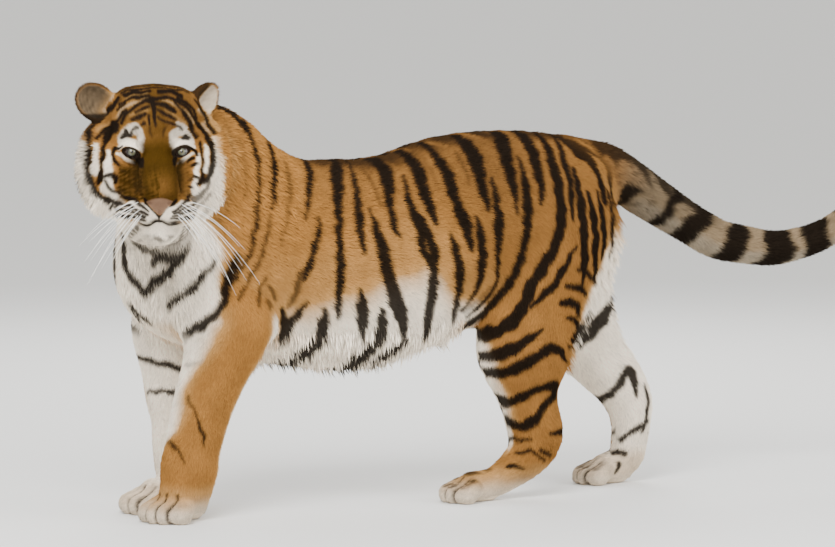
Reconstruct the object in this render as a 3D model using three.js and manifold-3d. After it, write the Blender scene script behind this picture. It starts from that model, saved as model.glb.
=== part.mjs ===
// A life-size Bengal tiger, standing and looking back over its left at the viewer, as a still museum model.
//
// Frame: millimetres, +Z up, the floor at Z = 0, the origin under the middle of its box. The tiger walks
// towards -X, so its left side faces -Y. The coordinates below start near its chest; MIDDLE shifts them.
// The flesh is a field of distances: every muscle is a tapered limb or an egg, and neighbours are blended
// smoothly. The field is turned into closed meshes, which planes then part into head, neck, trunk, legs and tail.
// The surface is the outline of the coat, out to the tips of the hair.

import * as THREE from "three";
import { mergeVertices } from "three/addons/utils/BufferGeometryUtils.js";
import Module from "manifold-3d";

const wasm = await Module();
wasm.setup();

const GAP = 0.4; // clear space at each cut between two nodes
const MIDDLE = [423, -80]; // the spot on the floor that the frame is centred on, in the coordinates used below
const SOLE_DEPTH = 7; // how far the soft pads would reach below the floor before they are flattened on it

// ---------------------------------------------------------------------------------------------------------
// Small vector helpers on plain [x, y, z] arrays
// ---------------------------------------------------------------------------------------------------------

const add = (a, b) => [a[0] + b[0], a[1] + b[1], a[2] + b[2]];
const sub = (a, b) => [a[0] - b[0], a[1] - b[1], a[2] - b[2]];
const times = (a, s) => [a[0] * s, a[1] * s, a[2] * s];
const dot = (a, b) => a[0] * b[0] + a[1] * b[1] + a[2] * b[2];
const unit = (a) => times(a, 1 / Math.hypot(...a));
const between = (a, b, t) => add(times(a, 1 - t), times(b, t));

// ---------------------------------------------------------------------------------------------------------
// Distances: a tapered limb, an egg, and the smooth ways to join or carve them
// ---------------------------------------------------------------------------------------------------------

// A limb from a to b whose radius goes evenly from ra to rb. Its section is squashed by `flat` along `side`.
function limb(a, b, ra, rb, { flat = 1, side = [0, 1, 0] } = {}) {
  const along = sub(b, a);
  const length2 = Math.max(dot(along, along), 1e-6);
  return (x, y, z) => {
    let px = x - a[0];
    let py = y - a[1];
    let pz = z - a[2];
    const t = Math.min(Math.max((px * along[0] + py * along[1] + pz * along[2]) / length2, 0), 1);
    px -= along[0] * t;
    py -= along[1] * t;
    pz -= along[2] * t;
    const off = (px * side[0] + py * side[1] + pz * side[2]) * (1 / flat - 1);
    px += side[0] * off;
    py += side[1] * off;
    pz += side[2] * off;
    const radius = ra + (rb - ra) * t;
    return (Math.sqrt(px * px + py * py + pz * pz) - radius) * Math.min(1, flat);
  };
}

// A rope of flesh through rows of [x, y, z, radius]: the joints are met by a smooth curve.
function rope(joints, options) {
  const at = (i) => joints[Math.min(Math.max(i, 0), joints.length - 1)];
  const pieces = [];
  const STEPS = 3;
  for (let i = 0; i + 1 < joints.length; i++) {
    const [p, q, r, s] = [at(i - 1), at(i), at(i + 1), at(i + 2)];
    const along = (t) =>
      q.map((_, n) => {
        const rise = (r[n] - p[n]) * t + (2 * p[n] - 5 * q[n] + 4 * r[n] - s[n]) * t * t;
        return q[n] + 0.5 * (rise + (3 * q[n] - p[n] - 3 * r[n] + s[n]) * t * t * t);
      });
    for (let step = 0; step < STEPS; step++) {
      const a = along(step / STEPS);
      const b = along((step + 1) / STEPS);
      pieces.push(limb(a.slice(0, 3), b.slice(0, 3), a[3], b[3], options));
    }
  }
  return (x, y, z) => pieces.reduce((d, piece) => Math.min(d, piece(x, y, z)), 1e4);
}

// An egg with three half-axes along the axes of a frame {forward, right, up}.
function egg(centre, [rf, rr, ru], { forward, right, up }) {
  const smallest = Math.min(rf, rr, ru);
  return (x, y, z) => {
    const p = [x - centre[0], y - centre[1], z - centre[2]];
    const f = dot(p, forward) / rf;
    const r = dot(p, right) / rr;
    const u = dot(p, up) / ru;
    const size = Math.sqrt(f * f + r * r + u * u);
    const slope = Math.sqrt((f / rf) ** 2 + (r / rr) ** 2 + (u / ru) ** 2);
    return slope < 1e-9 ? -smallest : (size * (size - 1)) / slope;
  };
}

// Smooth union and smooth carving over a width k.
function join(a, b, k) {
  const h = Math.max(k - Math.abs(a - b), 0) / k;
  return Math.min(a, b) - (h * h * k) / 4;
}
const carve = (a, b, k) => -join(-a, b, k);

// A group of muscles, blended one after another. Each entry is [distance, k]; a negative k carves.
const blended = (muscles) => (x, y, z) => {
  let d = 1e4;
  for (const [distance, k] of muscles) {
    const here = distance(x, y, z);
    d = k < 0 ? carve(d, here, -k) : join(d, here, k);
  }
  return d;
};

// ---------------------------------------------------------------------------------------------------------
// Trunk
// ---------------------------------------------------------------------------------------------------------

// The spine bows a little, so that the tiger's left side is the hollow one.
const RIBCAGE = [
  [-380, -16, 622, 216],
  [-250, 0, 600, 244],
  [-110, 12, 590, 257],
  [20, 23, 592, 272],
  [160, 36, 620, 259],
  [300, 48, 682, 236],
  [440, 58, 704, 224],
  [580, 70, 732, 182],
  [640, 76, 728, 132],
];
const WITHERS = [-235, 0, 798];
const BRISKET = [-478, -34, 590];
const trunk = blended([
  [rope(RIBCAGE, { flat: 0.8 }), 1],
  [limb(RIBCAGE[0].slice(0, 3), BRISKET, 180, 116), 60],
  [limb(WITHERS, [-60, 14, 768], 76, 72, { flat: 0.8 }), 60],
]);

// ---------------------------------------------------------------------------------------------------------
// Legs. `out` is -1 on the left and +1 on the right.
// ---------------------------------------------------------------------------------------------------------

// Four toes fan out round a paw's heading; the two outer ones stand a little back.
function toes(paw, heading, reach, spread, radius) {
  const ahead = [Math.cos(heading), Math.sin(heading), 0];
  const across = [-Math.sin(heading), Math.cos(heading), 0];
  return [-1.5, -0.5, 0.5, 1.5].map((place) => {
    const forward = reach * (Math.abs(place) > 1 ? 0.72 : 1);
    const tip = add(paw, add(times(ahead, forward), times(across, place * spread)));
    const knuckle = add(add(paw, times(across, place * spread * 0.8)), times(ahead, forward * 0.35));
    tip[2] = radius - SOLE_DEPTH;
    knuckle[2] = radius * 1.36;
    return [limb(knuckle, tip, radius * 0.9, radius, { flat: 1 }), 12];
  });
}

// A foreleg: shoulder blade and upper arm, then the forearm, wrist and paw as one rope.
function foreleg({ blade, shoulder, arm, paw, heading }) {
  const ahead = [Math.cos(heading), Math.sin(heading), 0];
  const heel = add(paw, times(ahead, -54));
  return blended([
    [limb(blade, shoulder, 78, 100, { flat: 0.62 }), 40],
    [limb(shoulder, arm[0].slice(0, 3), 100, 92, { flat: 0.8 }), 60],
    [rope(arm), 50],
    [limb([heel[0], heel[1], 38], [paw[0], paw[1], 40], 46, 47), 24],
    ...toes(paw, heading, 66, 31, 28),
  ]);
}

const LEFT_FORELEG = {
  blade: [-285, -92, 740],
  shoulder: [-412, -108, 570],
  arm: [
    [-366, -140, 470, 97],
    [-400, -132, 375, 84],
    [-434, -125, 278, 75],
    [-458, -121, 181, 70],
    [-467, -120, 130, 72],
    [-474, -119, 88, 66],
  ],
  paw: [-504, -124, 40],
  heading: THREE.MathUtils.degToRad(180 + 34),
};
const RIGHT_FORELEG = {
  blade: [-285, 92, 740],
  shoulder: [-410, 84, 570],
  arm: [
    [-424, 100, 450, 90],
    [-428, 92, 375, 82],
    [-424, 85, 290, 76],
    [-418, 80, 230, 70],
    [-418, 78, 170, 67],
    [-414, 76, 120, 67],
    [-412, 72, 84, 62],
  ],
  paw: [-486, 56, 38],
  heading: THREE.MathUtils.degToRad(180 + 16),
};

// A hind leg: thigh, hamstrings, and then the calf, hock and long foot as one rope down to the toes.
function hindLeg({ hip, knee, hamstrings, shank, paw, heading }) {
  const ahead = [Math.cos(heading), Math.sin(heading), 0];
  const ball = add(paw, times(ahead, -34));
  return blended([
    [limb(hip, knee, 168, 118, { flat: 0.72 }), 60],
    [rope(hamstrings, { flat: 0.74 }), 60],
    [rope(shank, { flat: 0.86 }), 50],
    [limb([ball[0], ball[1], 32], [paw[0], paw[1], 32], 36, 39), 20],
    ...toes(paw, heading, 60, 28, 26),
  ]);
}

const LEFT_HIND = {
  hip: [574, 0, 664],
  knee: [462, -44, 430],
  hamstrings: [
    [602, 4, 626, 112],
    [544, -24, 496, 98],
    [486, -46, 386, 90],
  ],
  shank: [
    [462, -50, 350, 104],
    [470, -52, 284, 84],
    [482, -54, 226, 75],
    [496, -54, 158, 73],
    [474, -56, 110, 59],
    [424, -59, 70, 46],
    [374, -62, 44, 39],
    [322, -64, 35, 36],
  ],
  paw: [316, -66, 38],
  heading: THREE.MathUtils.degToRad(180 + 8),
};
const RIGHT_HIND = {
  hip: [604, 142, 668],
  knee: [668, 154, 448],
  hamstrings: [
    [676, 138, 636, 106],
    [692, 146, 500, 92],
    [706, 148, 410, 80],
  ],
  shank: [
    [714, 150, 394, 82],
    [768, 147, 324, 80],
    [820, 143, 270, 74],
    [854, 141, 214, 66],
    [862, 140, 160, 56],
    [858, 140, 110, 51],
    [846, 140, 66, 47],
    [800, 140, 38, 39],
  ],
  paw: [788, 140, 38],
  heading: THREE.MathUtils.degToRad(180 + 2),
};

// ---------------------------------------------------------------------------------------------------------
// Tail: a rope of flesh through a row of joints, hanging back from the rump and lifting at its end
// ---------------------------------------------------------------------------------------------------------

const TAIL = [
  [640, 76, 828, 62],
  [740, 86, 824, 67],
  [820, 92, 784, 65],
  [905, 97, 733, 60],
  [1000, 101, 676, 55],
  [1085, 104, 631, 54],
  [1160, 106, 612, 52],
  [1252, 108, 599, 48],
  [1325, 109, 606, 44],
  [1395, 110, 624, 42],
  [1460, 110, 654, 41],
  [1520, 108, 704, 39],
  [1562, 104, 766, 35],
  [1584, 100, 822, 27],
];
const tail = rope(TAIL);

// ---------------------------------------------------------------------------------------------------------
// Head. It has a frame of its own: the point between the eyes, with `forward` along the gaze.
// ---------------------------------------------------------------------------------------------------------

const GAZE_TURN = THREE.MathUtils.degToRad(72.5); // how far the head turns left of the body's heading
const GAZE_LIFT = THREE.MathUtils.degToRad(4.5); // and how far the gaze rises
const forward = [
  -Math.cos(GAZE_TURN) * Math.cos(GAZE_LIFT),
  -Math.sin(GAZE_TURN) * Math.cos(GAZE_LIFT),
  Math.sin(GAZE_LIFT),
];
const right = unit([Math.sin(GAZE_TURN), -Math.cos(GAZE_TURN), 0]); // towards the tiger's own left ear
const up = [
  forward[1] * right[2] - forward[2] * right[1],
  forward[2] * right[0] - forward[0] * right[2],
  forward[0] * right[1] - forward[1] * right[0],
];
const HEAD = { forward, right, up };
const BROW = [-618, -300, 912]; // midway between the eyes, where the bridge of the nose starts

// A point in the head's frame: f ahead along the gaze, r towards the left ear, u towards the crown.
const inHead = (f, r, u) => add(BROW, add(add(times(forward, f), times(right, r)), times(up, u)));
// The same muscle on both sides of the head.
const bothSides = (muscle, k) => [-1, 1].map((s) => [muscle(s), k]);

const EYE = { radius: 20, apart: 60, depth: -13, height: -2 };
const eyeAt = (s) => inHead(EYE.depth, s * EYE.apart, EYE.height);

const head = blended([
  [egg(inHead(-105, 0, 54), [116, 118, 112], HEAD), 30], // braincase
  ...bothSides((s) => egg(inHead(-108, s * 58, 92), [68, 52, 60], HEAD), 30), // temples
  [egg(inHead(-50, 0, 62), [58, 82, 78], HEAD), 36], // forehead
  ...bothSides((s) => egg(inHead(-80, s * 82, -40), [70, 64, 78], HEAD), 36), // cheekbones
  ...bothSides((s) => egg(inHead(-116, s * 112, -34), [52, 76, 122], HEAD), 36), // ruffs
  [limb(inHead(-28, 0, 12), inHead(76, 0, -100), 33, 42, { flat: 1.2, side: right }), 24], // bridge of the nose
  ...bothSides((s) => egg(inHead(50, s * 42, -144), [48, 48, 38], HEAD), 24), // whisker pads
  [egg(inHead(20, 0, -150), [66, 66, 56], HEAD), 26], // jaws
  [egg(inHead(44, 0, -194), [38, 44, 30], HEAD), 20], // chin
  [egg(inHead(-60, 0, -150), [80, 96, 76], HEAD), 50], // throat
  ...bothSides((s) => egg(inHead(-34, s * 60, 36), [30, 38, 24], HEAD), 22), // brow ridges
  ...bothSides((s) => egg(inHead(20, s * 61, -5), [33, 29, 17], HEAD), -12), // eye hollows
]);

const NECK = [
  [-290, -6, 694, 200],
  [-350, -24, 784, 180],
  [-412, -60, 858, 158],
  [-500, -122, 890, 136],
  [-560, -186, 892, 118],
];
const neck = blended([
  [rope(NECK), 1],
  [limb([-425, -44, 620], inHead(-110, 0, -110), 140, 94), 80],
  [limb([-492, -30, 640], [-520, -70, 740], 100, 96), 60],
]);

// An ear: a rounded cup on a short neck of skin, opening along `faces`.
const EARS = {
  right_ear: { side: -1, root: [-122, -96, 88], tip: [-102, -139, 121], faces: [0.9, -0.12, 0.1] },
  left_ear: { side: 1, root: [-118, 72, 86], tip: [-114, 117, 126], faces: [0.75, 0.66, 0.1] },
};
function ear({ root, tip, faces }) {
  const centre = inHead(...tip);
  const opening = unit(add(add(times(forward, faces[0]), times(right, faces[1])), times(up, faces[2])));
  const stem = unit(sub(inHead(...tip), inHead(...root)));
  const tall = unit(sub(stem, times(opening, dot(stem, opening))));
  const wide = [
    opening[1] * tall[2] - opening[2] * tall[1],
    opening[2] * tall[0] - opening[0] * tall[2],
    opening[0] * tall[1] - opening[1] * tall[0],
  ];
  const frame = { forward: opening, right: wide, up: tall };
  return blended([
    [egg(centre, [27, 47, 52], frame), 10],
    [limb(inHead(...root), centre, 34, 26), 26],
    [egg(add(centre, times(opening, 24)), [30, 36, 42], frame), -10],
  ]);
}
const ears = Object.fromEntries(Object.entries(EARS).map(([name, shape]) => [name, ear(shape)]));

// ---------------------------------------------------------------------------------------------------------
// The whole animal. Legs blend into the trunk, and never into each other.
// ---------------------------------------------------------------------------------------------------------

const legs = {
  left_foreleg: foreleg(LEFT_FORELEG),
  right_foreleg: foreleg(RIGHT_FORELEG),
  left_hind: hindLeg(LEFT_HIND),
  right_hind: hindLeg(RIGHT_HIND),
};

function tiger(x, y, z) {
  let body = join(trunk(x, y, z), tail(x, y, z), 50);
  const collar = neck(x, y, z);
  body = join(body, collar, 70);
  const skull = Math.min(head(x, y, z), 1e4);
  body = join(body, skull, 26);
  for (const cup of Object.values(ears)) body = join(body, cup(x, y, z), 14);
  let nearest = 1e4;
  for (const leg of Object.values(legs)) nearest = Math.min(nearest, join(body, leg(x, y, z), 38));
  return nearest;
}

// ---------------------------------------------------------------------------------------------------------
// Meshing: a dual grid with one vertex in each cell that the surface crosses
// ---------------------------------------------------------------------------------------------------------

const STEP = 0.5; // for slopes

function slopeAt(field, p) {
  return [0, 1, 2].map((i) => {
    const ahead = [...p];
    const behind = [...p];
    ahead[i] += STEP;
    behind[i] -= STEP;
    return (field(...ahead) - field(...behind)) / (2 * STEP);
  });
}

// Moves a cell's first guess onto the surface, staying near the cell.
function settle(field, guess, cell) {
  let p = [...guess];
  for (let round = 0; round < 3; round++) {
    const slope = slopeAt(field, p);
    const steep = Math.max(dot(slope, slope), 0.04);
    p = sub(p, times(slope, field(...p) / steep));
  }
  const reach = 0.45;
  return p.map((v, i) => Math.min(Math.max(v, guess[i] - reach * cell[i]), guess[i] + reach * cell[i]));
}

// Where flesh touches flesh only along an edge or at a corner of the grid, fills the gap, so that the
// surface nowhere meets itself.
function fillPinches(samples, count, at) {
  const [I, J, K] = [at(1, 0, 0), at(0, 1, 0), at(0, 0, 1)];
  const pairs = [
    [0, I + J, I, J],
    [0, I + K, I, K],
    [0, J + K, J, K],
  ];
  const diagonals = [
    [0, I + J + K],
    [I, J + K],
    [J, I + K],
    [K, I + J],
  ];
  const cube = [0, I, J, I + J, K, I + K, J + K, I + J + K];
  const fill = (base, offsets) => {
    const open = offsets.filter((o) => samples[base + o] >= 0);
    open.sort((a, b) => samples[base + a] - samples[base + b]);
    samples[base + open[0]] = -1e-3;
  };
  for (let again = true, round = 0; again && round < 40; round++) {
    again = false;
    for (let k = 0; k < count[2] - 1; k++)
      for (let j = 0; j < count[1] - 1; j++)
        for (let i = 0; i < count[0] - 1; i++) {
          const base = at(i, j, k);
          const within = (o) => samples[base + o] < 0;
          for (const [a, b, c, d] of pairs) {
            if (within(a) === within(b) && within(c) === within(d) && within(a) !== within(c)) {
              fill(base, [a, b, c, d]);
              again = true;
            }
          }
          const full = cube.filter(within).length;
          if (full !== 2 && full !== 6) continue;
          for (const [a, b] of diagonals) {
            if (within(a) === within(b) && within(a) === (full === 2)) {
              fill(base, cube);
              again = true;
            }
          }
        }
  }
}

// A closed mesh of field < 0 inside the box from low to high, on a grid of cell [x, y, z] sizes.
function polygonize(field, low, high, cell) {
  const count = [0, 1, 2].map((i) => Math.max(2, Math.ceil((high[i] - low[i]) / cell[i])) + 1);
  const at = (i, j, k) => (k * count[1] + j) * count[0] + i;
  const place = (i, j, k) => [low[0] + i * cell[0], low[1] + j * cell[1], low[2] + k * cell[2]];
  const edge = (n, axis) => n === 0 || n === count[axis] - 1;
  const samples = new Float64Array(count[0] * count[1] * count[2]);
  for (let k = 0; k < count[2]; k++)
    for (let j = 0; j < count[1]; j++)
      for (let i = 0; i < count[0]; i++) {
        const outer = edge(i, 0) || edge(j, 1) || edge(k, 2);
        const value = field(...place(i, j, k));
        samples[at(i, j, k)] = outer ? Math.max(value, cell[0] / 3) : value;
      }

  fillPinches(samples, count, at);

  const vertices = [];
  const cellVertex = new Map();
  const corners = [0, 1, 2, 3, 4, 5, 6, 7].map((c) => [c & 1, (c >> 1) & 1, c >> 2]);
  const edges = [];
  corners.forEach((a, m) =>
    corners.forEach((b, n) => {
      if (m < n && Math.abs(a[0] - b[0]) + Math.abs(a[1] - b[1]) + Math.abs(a[2] - b[2]) === 1) edges.push([m, n]);
    }),
  );
  for (let k = 0; k < count[2] - 1; k++)
    for (let j = 0; j < count[1] - 1; j++)
      for (let i = 0; i < count[0] - 1; i++) {
        const values = corners.map(([a, b, c]) => samples[at(i + a, j + b, k + c)]);
        const inside = values.filter((v) => v < 0).length;
        if (inside === 0 || inside === 8) continue;
        let sum = [0, 0, 0];
        let crossings = 0;
        for (const [m, n] of edges) {
          if (values[m] < 0 === values[n] < 0) continue;
          const t = values[m] / (values[m] - values[n]);
          const spot = between(corners[m], corners[n], t);
          sum = add(sum, spot);
          crossings++;
        }
        const mean = times(sum, 1 / crossings);
        const guess = place(i + mean[0], j + mean[1], k + mean[2]);
        const capped = [i, j, k].some((n, axis) => n === 0 || n === count[axis] - 2);
        cellVertex.set(at(i, j, k), vertices.length);
        vertices.push(capped ? guess : settle(field, guess, cell));
      }

  const triangles = [];
  const quad = (ring, flip) => {
    if (flip) ring.reverse();
    const [p, q, r, s] = ring;
    const shortFirst =
      Math.hypot(...sub(vertices[p], vertices[r])) <= Math.hypot(...sub(vertices[q], vertices[s]));
    if (shortFirst) triangles.push(p, q, r, p, r, s);
    else triangles.push(p, q, s, q, r, s);
  };
  // The corners of the quad round a grid edge, going round each of the three axes.
  const rings = [
    [[0, -1, -1], [0, 0, -1], [0, 0, 0], [0, -1, 0]],
    [[-1, 0, -1], [-1, 0, 0], [0, 0, 0], [0, 0, -1]],
    [[-1, -1, 0], [0, -1, 0], [0, 0, 0], [-1, 0, 0]],
  ];
  for (let k = 0; k < count[2] - 1; k++)
    for (let j = 0; j < count[1] - 1; j++)
      for (let i = 0; i < count[0] - 1; i++) {
        const here = samples[at(i, j, k)] < 0;
        rings.forEach((ring, axis) => {
          const next = at(i + (axis === 0), j + (axis === 1), k + (axis === 2));
          if (here === samples[next] < 0) return;
          quad(ring.map(([a, b, c]) => cellVertex.get(at(i + a, j + b, k + c))), !here);
        });
      }
  return solidFrom(vertices.flat(), triangles);
}

// ---------------------------------------------------------------------------------------------------------
// Solids: to and from manifold-3d, which cuts them
// ---------------------------------------------------------------------------------------------------------

function solidFrom(positions, triangles) {
  return new wasm.Manifold(
    new wasm.Mesh({
      numProp: 3,
      vertProperties: new Float32Array(positions),
      triVerts: new Uint32Array(triangles),
    }),
  );
}

function solidOf(geometry) {
  const bare = geometry.clone();
  bare.deleteAttribute("normal");
  bare.deleteAttribute("uv");
  const merged = mergeVertices(bare, 1e-3);
  return solidFrom(merged.attributes.position.array, merged.index.array);
}

function geometryOf(solid) {
  const mesh = solid.getMesh();
  const geometry = new THREE.BufferGeometry();
  geometry.setAttribute("position", new THREE.BufferAttribute(new Float32Array(mesh.vertProperties), 3));
  geometry.setIndex(new THREE.BufferAttribute(new Uint32Array(mesh.triVerts), 1));
  geometry.computeVertexNormals();
  return geometry;
}

// The part of space that is behind every plane. A plane is [point, outward normal]; `grow` moves them all out.
function region(planes, grow) {
  const everything = solidOf(new THREE.BoxGeometry(6000, 6000, 6000));
  return planes.reduce((left, [point, normal]) => {
    const outward = unit(normal);
    return left.trimByPlane(times(outward, -1), -dot(outward, point) - grow);
  }, everything);
}

// The largest body of a solid: what a cut leaves loose beside it is smaller than a cell.
function mainBody(solid) {
  return solid.decompose().reduce((best, body) => (body.volume() > best.volume() ? body : best));
}

// ---------------------------------------------------------------------------------------------------------
// Nodes. Each is meshed in its own box at its own cell size, cut to its region, and taken from those after it.
// ---------------------------------------------------------------------------------------------------------

const FLOOR = [[0, 0, 0], [0, 0, -1]];
const above = (z) => [[0, 0, z], [0, 0, -1]];
const below = (z) => [[0, 0, z], [0, 0, 1]];
const ahead = (x) => [[x, 0, 0], [1, 0, 0]];
const behind = (x) => [[x, 0, 0], [-1, 0, 0]];
const leftOf = (y) => [[0, y, 0], [0, 1, 0]];
const rightOf = (y) => [[0, y, 0], [0, -1, 0]];
const inFrontOf = (f) => [inHead(f, 0, 0), times(forward, -1)];

const earRegion = (side, r, u) => [
  [inHead(0, side * r, 0), times(right, -side)],
  [inHead(0, 0, u), times(up, -1)],
  inFrontOf(-172),
];
// Beyond the middle of a length of the tail.
const tailFrom = (i) => {
  const [before, after] = [TAIL[i].slice(0, 3), TAIL[i + 1].slice(0, 3)];
  return [between(before, after, 0.5), sub(before, after)];
};
const OVER_LEFT_EAR = [inHead(0, 76, 135), add(times(right, -0.75), times(up, -0.66))];
const UNDER_TAIL = [[790, 0, 700], [-0.55, 0, -0.835]];
const ARMPIT = [[-500, 0, 440], [0.283, 0, 0.959]];
const GROIN = [[280, 0, 462], [-0.27, 0, 0.963]];
const CHEST_TO_NECK = [[-400, -60, 740], [0.7, 0.2, -0.68]];

// name: [material, planes it lies behind, low corner of its box, high corner, cell]
const NODES = {
  left_ear: ["ear", [...earRegion(1, 72, 100), OVER_LEFT_EAR], [-570, -360, 950], [-340, -100, 1130], [15, 15, 15]],
  right_ear: ["ear", earRegion(-1, 102, 84), [-810, -260, 950], [-600, -20, 1130], [15, 15, 15]],
  head: ["orange", [inFrontOf(-172), above(668)], [-852, -530, 650], [-350, -30, 1120], [26, 26, 26]],
  tail_tip: ["tip", [tailFrom(8), UNDER_TAIL], [1280, 20, 500], [1660, 200, 900], [40, 28, 28]],
  tail_middle: ["tip", [tailFrom(4), UNDER_TAIL], [990, 20, 500], [1480, 200, 780], [50, 28, 28]],
  tail_base: ["orange", [tailFrom(1), UNDER_TAIL, leftOf(170), rightOf(8)], [720, -20, 540], [1160, 220, 940], [48, 30, 30]],
  left_forepaw: ["white", [below(104), leftOf(-32), ahead(-300)], [-640, -240, -30], [-320, -10, 160], [29, 29, 27]],
  right_forepaw: ["white", [below(104), rightOf(-32), ahead(-300)], [-640, -80, -30], [-300, 180, 160], [29, 29, 27]],
  left_forearm: ["orange", [ARMPIT, leftOf(-22), ahead(-240)], [-640, -280, 60], [-200, 20, 500], [36, 36, 64]],
  right_forearm: ["white", [ARMPIT, rightOf(-22), ahead(-240)], [-640, -60, 60], [-200, 260, 500], [36, 36, 64]],
  left_hind_paw: ["white", [below(100), leftOf(44), ahead(560)], [180, -200, -30], [600, 80, 160], [30, 28, 27]],
  right_hind_paw: ["white", [below(100), rightOf(44), behind(600)], [560, 20, -30], [960, 260, 160], [30, 28, 27]],
  left_shank: ["orange", [below(330), leftOf(52), ahead(640), behind(290)], [240, -240, 40], [700, 100, 380], [36, 36, 50]],
  right_shank: ["white", [below(330), rightOf(52), behind(560)], [520, 0, 40], [980, 320, 380], [36, 36, 50]],
  left_thigh: ["orange", [GROIN, leftOf(58), behind(285)], [230, -260, 270], [900, 120, 700], [48, 44, 48]],
  right_thigh: ["orange", [GROIN, rightOf(58), behind(285)], [230, 0, 270], [980, 330, 700], [48, 44, 48]],
  neck: ["orange", [CHEST_TO_NECK], [-760, -420, 480], [-170, 300, 1120], [56, 56, 56]],
  trunk: ["orange", [], [-700, -320, 280], [900, 360, 1060], [92, 62, 60]],
};

const COLOURS = {
  orange: "#c07c3a",
  white: "#ddd2c0",
  tip: "#8f8372",
  ear: "#d8cdbb",
};

// ---------------------------------------------------------------------------------------------------------
// Build
// ---------------------------------------------------------------------------------------------------------

const group = new THREE.Group();
group.position.set(-MIDDLE[0], -MIDDLE[1], 0);
function addNode(name, geometry, color, roughness) {
  const material = new THREE.MeshStandardMaterial({ color, roughness, metalness: 0 });
  const mesh = new THREE.Mesh(geometry, material);
  mesh.name = name;
  group.add(mesh);
  return mesh;
}

function eyeball(side, radius) {
  const ball = new THREE.SphereGeometry(radius, 12, 10);
  ball.translate(...eyeAt(side));
  return ball;
}
const sockets = [-1, 1].map((side) => solidOf(eyeball(side, EYE.radius + GAP)));

const taken = [];
for (const [name, [colour, planes, low, high, cell]] of Object.entries(NODES)) {
  let solid = polygonize(tiger, low, high, cell);
  solid = solid.intersect(region([...planes, FLOOR], 0));
  for (const planesBefore of taken) solid = solid.subtract(region(planesBefore, GAP));
  if (name === "head") for (const socket of sockets) solid = solid.subtract(socket);
  taken.push(planes);
  addNode(name, geometryOf(mainBody(solid)), COLOURS[colour], 0.85);
}
addNode("right_eye", eyeball(-1, EYE.radius), "#9a8a4c", 0.2);
addNode("left_eye", eyeball(1, EYE.radius), "#9a8a4c", 0.2);

export default group;
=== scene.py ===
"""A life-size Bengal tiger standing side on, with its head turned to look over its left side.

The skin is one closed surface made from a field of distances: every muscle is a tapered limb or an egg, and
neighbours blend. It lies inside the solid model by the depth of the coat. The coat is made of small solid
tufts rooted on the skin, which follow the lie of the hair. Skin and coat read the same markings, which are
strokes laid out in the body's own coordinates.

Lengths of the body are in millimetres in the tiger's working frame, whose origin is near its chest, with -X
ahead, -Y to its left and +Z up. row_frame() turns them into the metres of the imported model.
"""

import math

import bpy
import numpy as np
from mathutils import Matrix, Vector


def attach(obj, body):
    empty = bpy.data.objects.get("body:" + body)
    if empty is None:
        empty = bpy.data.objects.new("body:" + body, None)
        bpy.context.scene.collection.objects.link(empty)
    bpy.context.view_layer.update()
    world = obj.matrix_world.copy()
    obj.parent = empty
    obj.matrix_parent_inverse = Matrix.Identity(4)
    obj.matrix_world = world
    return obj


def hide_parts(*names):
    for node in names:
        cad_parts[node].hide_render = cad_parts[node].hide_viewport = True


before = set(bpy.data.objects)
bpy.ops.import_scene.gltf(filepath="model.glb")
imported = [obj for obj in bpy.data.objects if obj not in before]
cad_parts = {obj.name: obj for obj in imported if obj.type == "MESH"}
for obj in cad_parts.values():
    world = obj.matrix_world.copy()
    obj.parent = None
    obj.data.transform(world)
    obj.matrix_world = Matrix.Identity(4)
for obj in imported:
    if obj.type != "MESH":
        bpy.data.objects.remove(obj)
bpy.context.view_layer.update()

MIDDLE = np.array([423.0, -80.0, 0.0])  # the spot that the row frame is centred on
SOLE_DEPTH = 7.0  # how far the soft pads would reach below the floor before they are flattened
FAR = 90.0  # a muscle further away than this never blends with what is near
SKIN_ABOVE_FLOOR, COAT_ABOVE_FLOOR = 0.6, 0.4  # how high the skin and the tufts stay


def row_frame(points):
    """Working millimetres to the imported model's metres."""
    return (points - MIDDLE) / 1000.0


def unit(v):
    v = np.asarray(v, float)
    return v / np.maximum(np.linalg.norm(v, axis=-1, keepdims=True), 1e-9)


def ramp(x, low, high):
    """0 below low, 1 above high, smooth between."""
    t = np.clip((x - low) / (high - low), 0.0, 1.0)
    return t * t * (3.0 - 2.0 * t)


# ----------------------------------------------------------------------------------------------------------
# Distances: limbs, ropes and eggs, each with the box outside which it need not be looked at
# ----------------------------------------------------------------------------------------------------------


class Limb:
    """A tapered limb from a to b, its section squashed by flat along side."""

    def __init__(self, a, b, ra, rb, flat=1.0, side=(0, 1, 0)):
        self.a, self.b = np.array(a, float), np.array(b, float)
        self.ra, self.rb, self.flat = ra, rb, flat
        self.side = np.array(side, float)
        self.along = self.b - self.a
        self.length2 = max(self.along @ self.along, 1e-6)
        reach = max(ra, rb) * max(1.0, flat)
        self.low = np.minimum(self.a, self.b) - reach
        self.high = np.maximum(self.a, self.b) + reach

    def distance(self, p):
        q = p - self.a
        t = np.clip(q @ self.along / self.length2, 0.0, 1.0)
        q -= t[:, None] * self.along
        if self.flat != 1.0:
            q += np.outer(q @ self.side * (1.0 / self.flat - 1.0), self.side)
        return (np.sqrt((q * q).sum(1)) - (self.ra + (self.rb - self.ra) * t)) * min(1.0, self.flat)


class Egg:
    """An egg with three half-axes along a frame of three unit vectors."""

    def __init__(self, centre, axes, frame_of):
        self.centre, self.axes = np.array(centre, float), np.array(axes, float)
        self.turn = np.array(frame_of, float)
        self.low, self.high = self.centre - max(axes), self.centre + max(axes)

    def distance(self, p):
        q = (p - self.centre) @ self.turn.T / self.axes
        size = np.sqrt((q * q).sum(1))
        slope = np.sqrt(((q / self.axes) ** 2).sum(1))
        return np.where(slope < 1e-9, -self.axes.min(), size * (size - 1.0) / np.maximum(slope, 1e-9))


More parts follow.
